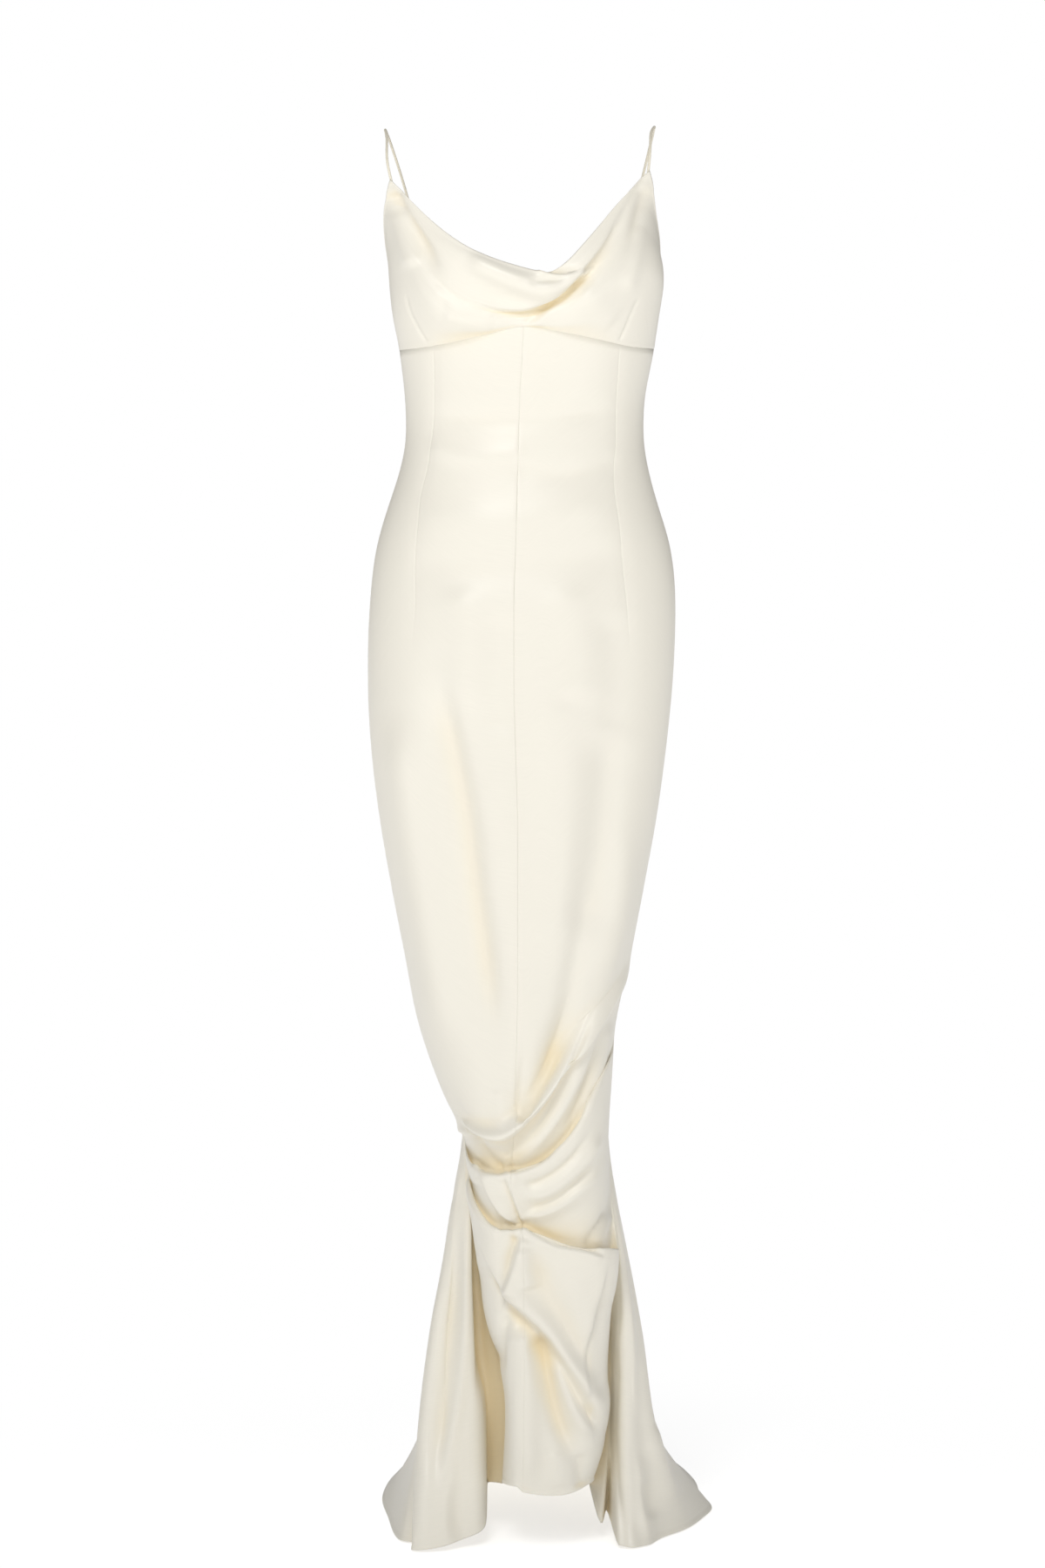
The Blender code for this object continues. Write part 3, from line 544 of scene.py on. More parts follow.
@dataclass
class DressForm:
    """The form of the whole dress, from which every panel and trim takes its points.

    Heights and lengths are in millimetres, and shares are of a row or of the way round. The blurs are standard
    deviations, of the sections in millimetres and of the courses in steps.
    """

    sections: tuple[Section, ...] = SECTIONS
    courses: tuple[Course, ...] = COURSES
    back_edge: float = -40.0
    knee: float = -1060.0
    knee_step: float = 70.0
    calf: float = -1270.0
    ankle: float = -1400.0
    hem_at_seam: float = -1440.0
    floor: float = -1495.0
    sharp_flare: float = 0.5
    fan_share: float = 0.6
    flare_pull: float = 160.0
    flare_pull_fade: float = 150.0
    flutes_above_knee: float = -60.0
    dart_pull: float = 0.14
    dart_top: float = -205.0
    dart_top_fade: float = 20.0
    dart_end: float = -640.0
    dart_end_fade: float = 80.0
    hem_crowding: float = 1.6
    section_blur: float = 10.0
    course_blur: float = 7.0
    course_steps: int = 200
    course_least_steps: int = 40
    table_step: float = 0.5
    last_share: float = 0.999
    table: np.ndarray = field(init=False)

    def __post_init__(self) -> None:
        """Samples and softens the table of sections."""
        rows = np.array([astuple(row) for row in self.sections])[::-1]
        heights = np.arange(rows[0, HEIGHT], rows[-1, HEIGHT] + self.table_step, self.table_step)
        self.table = softened(spline(rows[:, HEIGHT], rows, heights), self.section_blur / self.table_step)

    def section(self, height: np.ndarray) -> np.ndarray:
        """Finds the section's values.

        Args:
            height: Heights in millimetres.

        Returns:
            The values of each section column at each height.
        """
        place = (np.asarray(height, float) - self.table[0, HEIGHT]) / self.table_step
        place = np.clip(place, 0, len(self.table) - 2 + self.last_share)
        low = place.astype(int)
        share = (place - low)[..., None]
        return self.table[low] * (1 - share) + self.table[low + 1] * share

    def across(self, course: Course, column: np.ndarray, values: tuple[float, ...]) -> np.ndarray:
        """Spreads a course's values over the front columns, with its corners kept.

        Args:
            course: The course.
            column: Front columns from -1 to 1.
            values: The values at the course's stations.

        Returns:
            The value at each column.
        """
        cuts = [course.stations.index(u) for u in (-1.0, *course.corners, 1.0)]
        found = np.empty(len(column))
        for first, last in zip(cuts[:-1], cuts[1:]):
            knots = course.stations[first : last + 1]
            steps = max(self.course_least_steps, int(self.course_steps * (knots[-1] - knots[0])))
            even = np.linspace(knots[0], knots[-1], steps)
            soft = softened(spline(knots, values[first : last + 1], even), self.course_blur)
            inside = (column >= knots[0]) & (column <= knots[-1])
            found[inside] = np.interp(column[inside], even, soft)
        return found

    def front(self, column: np.ndarray, height: np.ndarray, out: np.ndarray) -> np.ndarray:
        """Places one row of the front.

        Args:
            column: Front columns from -1 to 1.
            height: Height at each column.
            out: How far each column stands out of the section.

        Returns:
            The row's points in millimetres.
        """
        place = self.section(height)
        left = column < 0
        angle = (1 - abs(column)) * np.pi / 2
        half = np.where(left, place[..., LEFT_X], place[..., RIGHT_X]) - place[..., CENTRE_X]
        depth = place[..., FRONT_Y] - place[..., SEAM_Y]
        full = np.where(left, place[..., LEFT_FULL], place[..., RIGHT_FULL])
        square = (np.cos(angle) ** full + np.sin(angle) ** full) ** (-1 / full)
        x = place[..., CENTRE_X] + half * np.cos(angle) * square
        y = place[..., SEAM_Y] + depth * np.sin(angle) * square
        out_x = np.cos(angle) * abs(depth) * np.where(left, -1, 1)
        out_y = -np.sin(angle) * abs(half)
        length = np.hypot(out_x, out_y)
        return np.stack([x + out * out_x / length, y + out * out_y / length, height + 0 * x], axis=-1)

    def nominal(self, height: float) -> float:
        """Returns a seam height, stretched below the knee to the ribs' heights."""
        stretch = (self.floor - self.knee) / (self.hem_at_seam - self.knee)
        return self.knee + (height - self.knee) * stretch if height < self.knee else height

    def rib_point(self, rib: Rib, side: Side, height: float) -> np.ndarray:
        """Finds the point of a rib at a height.

        Args:
            rib: The rib.
            side: The side of the dress.
            height: The height, stretched to the ribs' heights.

        Returns:
            The point in millimetres.
        """
        above = [self.knee, self.knee + self.knee_step, self.knee + 2 * self.knee_step]
        heights = np.array([max(height, self.knee), *above])
        at = self.section(heights)
        angle = rib.place * np.pi / 2
        half = at[:, LEFT_X] if side is Side.LEFT else at[:, RIGHT_X]
        full = at[:, BACK_FULL]
        square = (np.cos(angle) ** full + np.sin(angle) ** full) ** (-1 / full)
        body_x = half * np.cos(angle) * square
        body_y = at[:, SEAM_Y] + (at[:, BACK_Y] - at[:, SEAM_Y]) * np.sin(angle) * square
        body = np.stack([body_x, body_y, heights], 1)
        if height >= self.knee:
            return body[0]
        knots = [self.floor, self.ankle, self.calf, *above]
        down = [rib.hem, rib.ankle, rib.calf, *body[1:]]
        smooth = float(np.clip((rib.place - self.sharp_flare) / (1 - self.sharp_flare), 0, 1))
        return smooth * spline(knots, down, height) + (1 - smooth) * spline(knots[:4], down[:4], height)

    def fan(self, place: np.ndarray) -> np.ndarray:
        """Returns how far a row has come from its seam height to its centre back height."""
        return eased(np.minimum(1.0, place / self.fan_share))

    def back_row(self, side: Side, seam_height: float, back_height: float, column: np.ndarray) -> np.ndarray:
        """Places one row of a back panel.

        Args:
            side: The side of the dress.
            seam_height: Height at the side seam.
            back_height: Height at the centre back.
            column: Places from the side seam, 0, to the centre back, 1.

        Returns:
            The row's points in millimetres.
        """
        seam_at = self.section(seam_height)
        seam_x = seam_at[LEFT_X] if side is Side.LEFT else seam_at[RIGHT_X]
        top = self.nominal(seam_height)
        stations = [0.0]
        points = [np.array([seam_x, seam_at[SEAM_Y], seam_height])]
        for rib in RIBS[side]:
            stations.append(rib.place)
            points.append(self.rib_point(rib, side, top + (back_height - top) * float(self.fan(rib.place))))
        points = np.array(points)
        below = float(np.clip((self.knee - top) / self.flare_pull_fade, 0, 1))
        depth = self.section(min(self.back_edge, max(seam_height, self.knee)))[BACK_Y] * np.pi / 2
        start = (0, depth + (self.flare_pull - depth) * below, 0)
        end = ((points[-1] - points[-2])[0] / (stations[-1] - stations[-2]), 0, 0)
        row = spline(stations, points, column, start, end)
        return self.fluted(row, side, column, top, back_height)

    def fluted(self, row: np.ndarray, side: Side, column: np.ndarray, top: float,
               bottom: float) -> np.ndarray:
        """Moves a row in and out, in plan, by the soft flutes.

        Args:
            row: The row's points.
            side: The side of the dress.
            column: Places from the side seam to the centre back.
            top: Height at the side seam.
            bottom: Height at the centre back.

        Returns:
            The moved row.
        """
        slope = np.gradient(row[:, :2], column, axis=0)
        turn = -1 if side is Side.LEFT else 1
        normal = turn * unit(np.stack([slope[:, 1], -slope[:, 0]], 1))
        height = top + (bottom - top) * self.fan(column)
        begin = self.knee + self.flutes_above_knee
        drop = np.clip((begin - height) / (begin - self.floor), 0, 1)
        moved = row.copy()
        moved[:, :2] += normal * (wave_height(FLUTES[side], column) * drop)[:, None]
        return moved

    def warp(self, column: np.ndarray, height: np.ndarray) -> np.ndarray:
        """Leads the columns near each long dart along it.

        Args:
            column: Front columns from -1 to 1.
            height: Height at each column.

        Returns:
            The warped columns.
        """
        moved = column.copy()
        inside = np.clip((height - self.dart_end) / self.dart_end_fade, 0, 1)
        inside = inside * np.clip((self.dart_top - height) / self.dart_top_fade, 0, 1)
        for side, place in ((Side.LEFT, -DART_PLACE), (Side.RIGHT, DART_PLACE)):
            dart = spline(DART_HEIGHTS[::-1], DARTS[side][::-1], height)
            near = np.exp(-(((column - place) / self.dart_pull) ** 2))
            moved = np.clip(moved + (dart - place) * near * inside, -1, 1)
        return moved

    def tube(self, front_columns: np.ndarray, back_columns: np.ndarray,
             share: float) -> tuple[np.ndarray, np.ndarray]:
        """Builds the whole tube as a grid, from the centre back round by the left and the front.

        Args:
            front_columns: Front columns from -1 to 1.
            back_columns: Back places from 0 to 1.
            share: The share of the courses' fine rows to build.

        Returns:
            The grid of points in millimetres, and each row's place counted in courses.
        """
        rows = []
        for k, course in enumerate(self.courses[:-1]):
            count = max(2, round(course.rows * share))
            steps = np.arange(count) / count
            closing = k == len(self.courses) - 2
            rows.append(k + (1 - (1 - steps) ** self.hem_crowding if closing else steps))
        keys = np.arange(len(self.courses), dtype=float)
        rows = np.concatenate([*rows, [keys[-1]]])
        heights = np.array([self.across(c, front_columns, c.heights) for c in self.courses])
        outs = np.array([self.across(c, front_columns, c.out) for c in self.courses])
        backs = np.array([c.centre_back for c in self.courses])
        middle = int(np.argmin(abs(front_columns)))
        travel = np.hypot(np.diff(heights[:, middle]), np.diff(outs[:, middle]))
        knots = np.concatenate([[0], np.cumsum(travel)])
        at = np.interp(rows, keys, knots)
        height = spline(knots, heights, at)
        out = spline(knots, outs, at)
        back = spline(knots, backs, at)
        front = np.stack([self.front(self.warp(front_columns, h), h, o) for h, o in zip(height, out)])
        left = np.stack([self.back_row(Side.LEFT, h[0], b, back_columns) for h, b in zip(height, back)])
        right = np.stack([self.back_row(Side.RIGHT, h[-1], b, back_columns) for h, b in zip(height, back)])
        return np.concatenate([left[:, ::-1], front[:, 1:-1], right], axis=1), rows


@dataclass
class ClothGrid:
    """One evaluated tube of cloth with its creases, from which panels are cut.

    Heights and lengths are in millimetres. The reaches over which the folds' depth is measured, for their
    painted shade, are counted in rows or columns, and each has its weight.
    """

    form: DressForm
    front_columns: np.ndarray
    back_columns: np.ndarray
    share: float = 1.0
    softening: int = 8
    tuck_hold: float = 0.25
    hem_rows: int = 12
    seam_ease: float = 14.0
    waist_ease: float = 6.0
    flare_front: float = 0.48
    flare_front_fade: float = 0.06
    flare_seam_fade: float = 0.03
    dart_top: float = -232.0
    dart_top_fade: float = 4.0
    dart_end: float = -556.0
    dart_end_fade: float = 70.0
    pucker: float = 0.12
    pucker_pitch: float = 2.6
    pucker_width: float = 6.0
    tone_passes: int = 5
    least_span: float = 1.5
    least_slope: float = 0.06
    full_slope: float = 0.8
    fold_reaches: tuple[tuple[int, float], ...] = ((3, 0.4), (6, 0.7), (12, 0.9), (24, 0.8))
    points: np.ndarray = field(init=False)
    rows: np.ndarray = field(init=False)
    normals: np.ndarray = field(init=False)
    # Each point's share of painted fold shade, by its depth in its fold.
    hollow: np.ndarray = field(init=False)

    def __post_init__(self) -> None:
        """Builds the tube, softens it, and shapes its seams and creases."""
        self.points, self.rows = self.form.tube(self.front_columns, self.back_columns, self.share)
        self.soften()
        _, _, normals = self.directions()
        self.points = self.points + normals * self.relief()[..., None]
        _, _, self.normals = self.directions()
        self.hollow = self.depth_share()

    def row_of(self, name: str) -> int:
        """Returns the row of a named course."""
        names = [course.name for course in self.form.courses]
        return int(np.argmin(abs(self.rows - names.index(name))))

    @property
    def left(self) -> int:
        """Returns the left side seam's column."""
        return len(self.back_columns) - 1

    @property
    def centre(self) -> int:
        """Returns the centre front's column."""
        return self.left + int(np.argmin(abs(self.front_columns)))

    @property
    def right(self) -> int:
        """Returns the right side seam's column."""
        return self.left + len(self.front_columns) - 1

    @property
    def around(self) -> int:
        """Returns the last column, at the centre back."""
        return self.points.shape[1] - 1

    def column_of(self, place: float) -> int:
        """Returns the column nearest a place across the front."""
        return self.left + int(np.argmin(abs(self.front_columns - place)))

    def soften(self) -> None:
        """Smooths the rows where the cloth hangs plain, and less at the tucks, the edges and the seam."""
        hold = np.ones(len(self.rows))
        hold[self.row_of("hollow") : self.row_of("outer_3")] = self.tuck_hold
        hold[: self.row_of("cowl_roll")] = 0
        hold[self.row_of("raised_waist_seam")] = 0
        hold[-self.hem_rows :] = 0
        for _ in range(self.softening):
            self.points[1:-1] += hold[1:-1, None, None] * (mixed(self.points) - self.points[1:-1])

    def directions(self) -> tuple[np.ndarray, np.ndarray, np.ndarray]:
        """Finds which way the cloth runs at each point.

        Returns:
            The unit steps along the rows and down the columns, and the outward normals.
        """
        grid = self.points
        closed = np.concatenate([grid[:, -2:-1], grid, grid[:, 1:2]], axis=1)
        along = unit(closed[:, 2:] - closed[:, :-2])
        down = np.empty_like(grid)
        down[1:-1] = grid[2:] - grid[:-2]
        down[0] = grid[1] - grid[0]
        down[-1] = grid[-1] - grid[-2]
        down = unit(down)
        return along, down, unit(np.cross(down, along))

    def lengths(self) -> tuple[np.ndarray, np.ndarray]:
        """Measures along the cloth.

        Returns:
            The lengths along each row from the centre back, and down each column from the top.
        """
        round_it = np.zeros(self.points.shape[:2])
        round_it[:, 1:] = np.cumsum(np.linalg.norm(np.diff(self.points, axis=1), axis=2), axis=1)
        down_it = np.zeros(self.points.shape[:2])
        down_it[1:] = np.cumsum(np.linalg.norm(np.diff(self.points, axis=0), axis=2), axis=0)
        return round_it, down_it

    def relief(self) -> np.ndarray:
        """Shapes the creases, seams, darts and hems.

        Returns:
            How far each point moves out, in millimetres.
        """
        round_it, down_it = self.lengths()
        out = np.zeros(self.points.shape[:2])
        x, _, z = np.moveaxis(self.points, 2, 0)
        waist = self.row_of("raised_waist_seam")
        front = slice(self.left, self.right + 1)
        from_left, from_centre, from_right = (
            round_it - round_it[:, column : column + 1] for column in (self.left, self.centre, self.right))
        ease = np.clip(np.minimum(from_left, -from_right)[:, front] / self.seam_ease, 0, 1)
        for creases in (FRONT_CREASES, TUCK_CREASES, LOWER_CREASES):
            out[:, front] += crease_height(creases, x[:, front], z[:, front]) * ease
        place = np.concatenate([self.back_columns[::-1], 0 * self.front_columns[1:-1], self.back_columns])
        facing = np.clip((self.flare_front - place) / self.flare_front_fade, 0, 1)
        facing *= np.clip(place / self.flare_seam_fade, 0, 1)
        out += crease_height(FLARE_CREASES, x, z) * facing
        bodice = (slice(0, waist), front)
        out[bodice] += crease_height(BODICE_CREASES, x[bodice], z[bodice]) * ease[:waist]
        edge_above = np.clip((down_it[waist] - down_it[:waist]) / self.waist_ease, 0, 1)[:, front]
        out[bodice] *= edge_above
        out += wave_height(SEAM, abs(from_left)) + wave_height(SEAM, abs(from_right))
        out += wave_height(SEAM, np.minimum(round_it, round_it[:, -1:] - round_it))
        out[waist:] += wave_height(SEAM, abs(from_centre[waist:]))
        out[:, front] += wave_height(SEAM, abs(down_it - down_it[waist]))[:, front]
        for place in (-DART_PLACE, DART_PLACE):
            out[:, front] += self.long_dart(place, round_it, z)[:, front]
        out[bodice] += crease_height(BUST_DARTS, x[bodice], z[bodice]) * edge_above
        return out + wave_height(HEM, down_it[-1] - down_it) + wave_height(TOP_EDGE, down_it)

    def long_dart(self, place: float, round_it: np.ndarray, z: np.ndarray) -> np.ndarray:
        """Shapes the groove and the faint pucker of a long dart.

        Args:
            place: The dart's place across the front.
            round_it: Lengths along the rows.
            z: Heights of the points.

        Returns:
            The relief of the dart.
        """
        column = self.column_of(place)
        away = round_it - round_it[:, column : column + 1]
        height = z[:, column : column + 1]
        inside = np.clip((self.dart_top - height) / self.dart_top_fade, 0, 1)
        inside *= np.clip((height - self.dart_end) / self.dart_end_fade, 0, 1)
        pucker = self.pucker * np.sin(height / self.pucker_pitch) * np.exp(-((away / self.pucker_width) ** 2))
        return (wave_height(LONG_DART, away) + pucker) * inside

    def depth_share(self) -> np.ndarray:
        """Measures each point's depth in its fold, by chords of several reaches across it, as its share of
        painted fold shade.

        Returns:
            The share at each point: 0 in the open, 1 in a narrow valley.
        """
        share = np.zeros(self.points.shape[:2])
        for axis in (0, 1):
            places = np.arange(self.points.shape[axis])
            for reach, weight in self.fold_reaches:
                before = np.take(self.points, np.maximum(places - reach, 0), axis)
                after = np.take(self.points, np.minimum(places + reach, places[-1]), axis)
                depth = np.sum(((before + after) / 2 - self.points) * self.normals, axis=2)
                span = np.linalg.norm(after - before, axis=2) / 2
                share = np.maximum(share, weight * depth / np.maximum(span, self.least_span))
        for _ in range(self.tone_passes):
            share[1:-1] = mixed(share)
            share[:, 1:-1] = mixed(share.T).T
        return eased(np.clip((share - self.least_slope) / (self.full_slope - self.least_slope), 0, 1))


def add_node(tree: bpy.types.NodeTree, kind: str, **settings: object) -> bpy.types.Node:
    """Adds a shader node.

    Args:
        tree: The nodes of a material or a world.
        kind: The node's type, without its prefix.
        settings: The values of its inputs, with _ for each space in an input's name.

    Returns:
        The node.
    """
    node = tree.nodes.new("ShaderNode" + kind)
    for name, value in settings.items():
        node.inputs[name.replace("_", " ")].default_value = value
    return node


def link(tree: bpy.types.NodeTree, *links: tuple) -> None:
    """Links nodes.

    Args:
        tree: The nodes of a material or a world.
        links: For each link the node that it leaves, its output, the node that it reaches, and its input.
    """
    for source, output, target, entry in links:
        tree.links.new(source.outputs[output], target.inputs[entry])


@dataclass(frozen=True)
class Grain:
    """A fine unevenness of the cloth: how often it changes in a metre across and down, its octaves of detail,
    and the strength and the depth in metres of its relief."""

    across: float
    down: float
    detail: float
    strength: float = 0.0
    depth: float = 0.0

    def noise(self, tree: bpy.types.NodeTree) -> bpy.types.Node:
        """Adds the grain as noise over the cloth's own metres.

        Args:
            tree: The material's nodes.

        Returns:
            The noise.
        """
        cloth = add_node(tree, "UVMap")
        cloth.uv_map = "cloth"
        stretch = add_node(tree, "Mapping", Scale=(self.across, self.down, 1.0))
        node = add_node(tree, "TexNoise", Scale=1.0, Detail=self.detail)
        link(tree, (cloth, "UV", stretch, "Vector"), (stretch, "Vector", node, "Vector"))
        return node

    def bump(self, tree: bpy.types.NodeTree, height: bpy.types.Node) -> bpy.types.Node:
        """Adds the grain's relief.

        Args:
            tree: The material's nodes.
            height: The grain's noise.

        Returns:
            The bump.
        """
        node = add_node(tree, "Bump", Strength=self.strength, Distance=self.depth)
        link(tree, (height, "Fac", node, "Height"))
        return node


@dataclass(frozen=True)
class SatinFinish:
    """Ivory crepe-back satin, with warm painted shade in its folds, a fine crosswise slub and a close weave.
    """

    name: str = "ivory_satin"
    lit: tuple[float, float, float, float] = (0.905, 0.865, 0.762, 1.0)
    # The painted shade of the folds: a darker, warmer colour mixed in by each point's depth in its fold.
    painted_fold_shade: tuple[float, float, float, float] = (0.92, 0.80, 0.56, 1.0)
    uneven_tone: float = 0.03
    roughness: float = 0.4
    smoother: float = 0.05
    rougher: float = 0.07
    specular: float = 0.5
    sheen: float = 0.2
    sheen_roughness: float = 0.45
    sheen_tint: tuple[float, float, float, float] = (1.0, 0.96, 0.88, 1.0)
    slub: Grain = Grain(40.0, 900.0, 3.0, 0.18, 0.0002)
    weave: Grain = Grain(1800.0, 2600.0, 1.0, 0.12, 0.0001)
    cloud: Grain = Grain(9.0, 9.0, 2.0)

    def material(self) -> bpy.types.Material:
        """Builds the satin's material once.

        Returns:
            The material.
        """
        found = bpy.data.materials.get(self.name)
        if found:
            return found
        made = bpy.data.materials.new(self.name)
        made.use_nodes = True
        tree = made.node_tree
        shader = tree.nodes["Principled BSDF"]
        slub = self.slub.noise(tree)
        rough = add_node(tree, "MapRange", To_Min=self.roughness - self.smoother,
                         To_Max=self.roughness + self.rougher)
        coarse = self.slub.bump(tree, slub)
        fine = self.weave.bump(tree, self.weave.noise(tree))
        link(tree, (self.slub_and_painted_shade(tree, slub), "Vector", shader, "Base Color"),
             (self.cloud.noise(tree), "Fac", rough, "Value"), (rough, "Result", shader, "Roughness"),
             (coarse, "Normal", fine, "Normal"), (fine, "Normal", shader, "Normal"))
        shader.inputs["Specular IOR Level"].default_value = self.specular
        shader.inputs["Sheen Weight"].default_value = self.sheen
        shader.inputs["Sheen Roughness"].default_value = self.sheen_roughness
        shader.inputs["Sheen Tint"].default_value = self.sheen_tint
        return made

    def slub_and_painted_shade(self, tree: bpy.types.NodeTree, slub: bpy.types.Node) -> bpy.types.Node:
        """Mixes the lit colour and the painted fold shade by the fold's depth, and varies them by the slub.

        Args:
            tree: The material's nodes.
            slub: The slub's noise.

        Returns:
            The node whose vector is the colour.
        """
        # Each point's share of the painted fold shade.
        hollow = add_node(tree, "Attribute")
        hollow.attribute_name = "hollow"
        # Mixes the lit colour towards the painted fold shade.
        painted_shade_ramp = add_node(tree, "ValToRGB")
        painted_shade_ramp.color_ramp.elements[0].color = self.lit
        painted_shade_ramp.color_ramp.elements[1].color = self.painted_fold_shade
        shade = add_node(tree, "MapRange", To_Min=1 - self.uneven_tone, To_Max=1 + self.uneven_tone)
        slub_and_painted_shade = add_node(tree, "VectorMath")
        slub_and_painted_shade.operation = "SCALE"
        link(tree, (hollow, "Fac", painted_shade_ramp, "Fac"), (slub, "Fac", shade, "Value"), (painted_shade_ramp, "Color", slub_and_painted_shade, 0),
             (shade, "Result", slub_and_painted_shade, "Scale"))
        return slub_and_painted_shade


@dataclass(frozen=True)
class Cut:
    """What a panel is cut to: its blank's width and length in metres, its area, and how it is held."""

    flat: tuple[float, float]
    area: float
    held: Held = Held.HUNG


@dataclass
class ClothPanel:
    """One panel of cloth, cut from the grid and given its two faces and its edges, in millimetres."""

    name: str
    node: str
    rests_on: tuple[str, ...]
    cut: Cut
    wall: float = 0.8
    seam_gap: float = 0.04
    # The inside face's fixed share of painted fold shade.
    inside_painted_shade: float = 0.3

    def span(self, grid: ClothGrid) -> tuple[int, int, int, int]:
        """Returns the first and last row and the first and last column of the panel."""
        raise NotImplementedError

    def build(self, grid: ClothGrid, finish: SatinFinish) -> bpy.types.Object:
        """Builds and dresses the panel.

        Args:
            grid: The grid that the panel is cut from.
            finish: The panel's cloth.

        Returns:
            The panel's object.
        """
        top, bottom, first, last = self.span(grid)
        rows, columns = slice(top, bottom + 1), slice(first, last + 1)
        along, down, _ = grid.directions()
        points = grid.points[rows, columns].copy()
        normals = grid.normals[rows, columns]
        pull = self.seam_gap / 2
        points[:, 0] += along[rows, first] * pull
        points[:, -1] -= along[rows, last] * pull
        if top > 0:
            points[0] += down[top, columns] * pull
        if bottom < len(grid.points) - 1:
            points[-1] -= down[bottom, columns] * pull
        round_it, down_it = grid.lengths()
        cloth = np.stack([round_it[rows, columns], down_it[rows, columns]], axis=2) * MM
        thing = self.shell(points, normals, grid.hollow[rows, columns], cloth)
        thing.data.materials.append(finish.material())
        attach(thing, BODY)
        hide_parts(self.node)
        LOG.info("%s: %d faces", self.name, len(thing.data.polygons))
        return thing

    def shell(self, points: np.ndarray, normals: np.ndarray, hollow: np.ndarray,
              cloth: np.ndarray) -> bpy.types.Object:
        """Makes a closed mesh with an outer face, an inner face and edges.

        Args:
            points: The panel's points in millimetres.
            normals: The outward normals.
            hollow: Each point's depth in a fold, as its share of painted fold shade.
            cloth: Each point's place on the cloth in metres.

        Returns:
            The mesh object.
        """
        tall, wide = hollow.shape
        outer = (points + normals * self.wall / 2).reshape(-1, 3) * MM
        inner = (points - normals * self.wall / 2).reshape(-1, 3) * MM
        index = np.arange(tall * wide).reshape(tall, wide)
        a, b, c, d = index[:-1, :-1], index[:-1, 1:], index[1:, 1:], index[1:, :-1]
        facing = np.stack([a, d, c, b], axis=2).reshape(-1, 4)
        backing = np.stack([a, b, c, d], axis=2).reshape(-1, 4) + tall * wide
        border = np.concatenate([index[0, :-1], index[:-1, -1], index[-1, :0:-1], index[:0:-1, 0]])
        following = np.roll(border, -1)
        edges = np.stack([border, following, following + tall * wide, border + tall * wide], axis=1)
        faces = np.concatenate([facing, backing, edges])
        mesh = bpy.data.meshes.new(self.name)
        mesh.from_pydata(np.concatenate([outer, inner]).tolist(), [], faces.tolist())
        # Each point's share of painted fold shade, and the inside face's fixed share.
        share = mesh.attributes.new("hollow", "FLOAT", "POINT")
        share.data.foreach_set("value", np.append(hollow, np.full(hollow.size, self.inside_painted_shade)))
        places = mesh.uv_layers.new(name="cloth")
        both = np.concatenate([cloth.reshape(-1, 2)] * 2)
        places.data.foreach_set("uv", both[faces.ravel()].ravel())
        mesh.shade_smooth()
        made = bpy.data.objects.new(self.name, mesh)
        bpy.context.scene.collection.objects.link(made)
        return made


@dataclass
class Bodice(ClothPanel):
    """The front above the raised waist seam, with the cowl."""

    cut: Cut = Cut((0.50, 0.24), 0.066, Held.DRAPED)

    def span(self, grid: ClothGrid) -> tuple[int, int, int, int]:
        """Returns the rows from the neck edge to the waist seam, between the side seams."""
        return 0, grid.row_of("raised_waist_seam"), grid.left, grid.right


@dataclass
class SkirtFront(ClothPanel):
    """Half of the front below the raised waist seam."""

    cut: Cut = Cut((0.26, 1.32), 0.25)
    side: Side = Side.LEFT

    def span(self, grid: ClothGrid) -> tuple[int, int, int, int]:
        """Returns the rows from the waist seam to the hem, between a side seam and the centre front."""
        columns = (grid.left, grid.centre) if self.side is Side.LEFT else (grid.centre, grid.right)
        return grid.row_of("raised_waist_seam"), len(grid.rows) - 1, *columns


@dataclass
class BackPanel(ClothPanel):
    """Half of the back from the back edge to the train."""

    cut: Cut = Cut((0.55, 1.52), 0.34)
    side: Side = Side.LEFT

    def span(self, grid: ClothGrid) -> tuple[int, int, int, int]:
        """Returns all the rows, between a side seam and the centre back."""
        columns = (0, grid.left) if self.side is Side.LEFT else (grid.right, grid.around)
        return 0, len(grid.rows) - 1, *columns


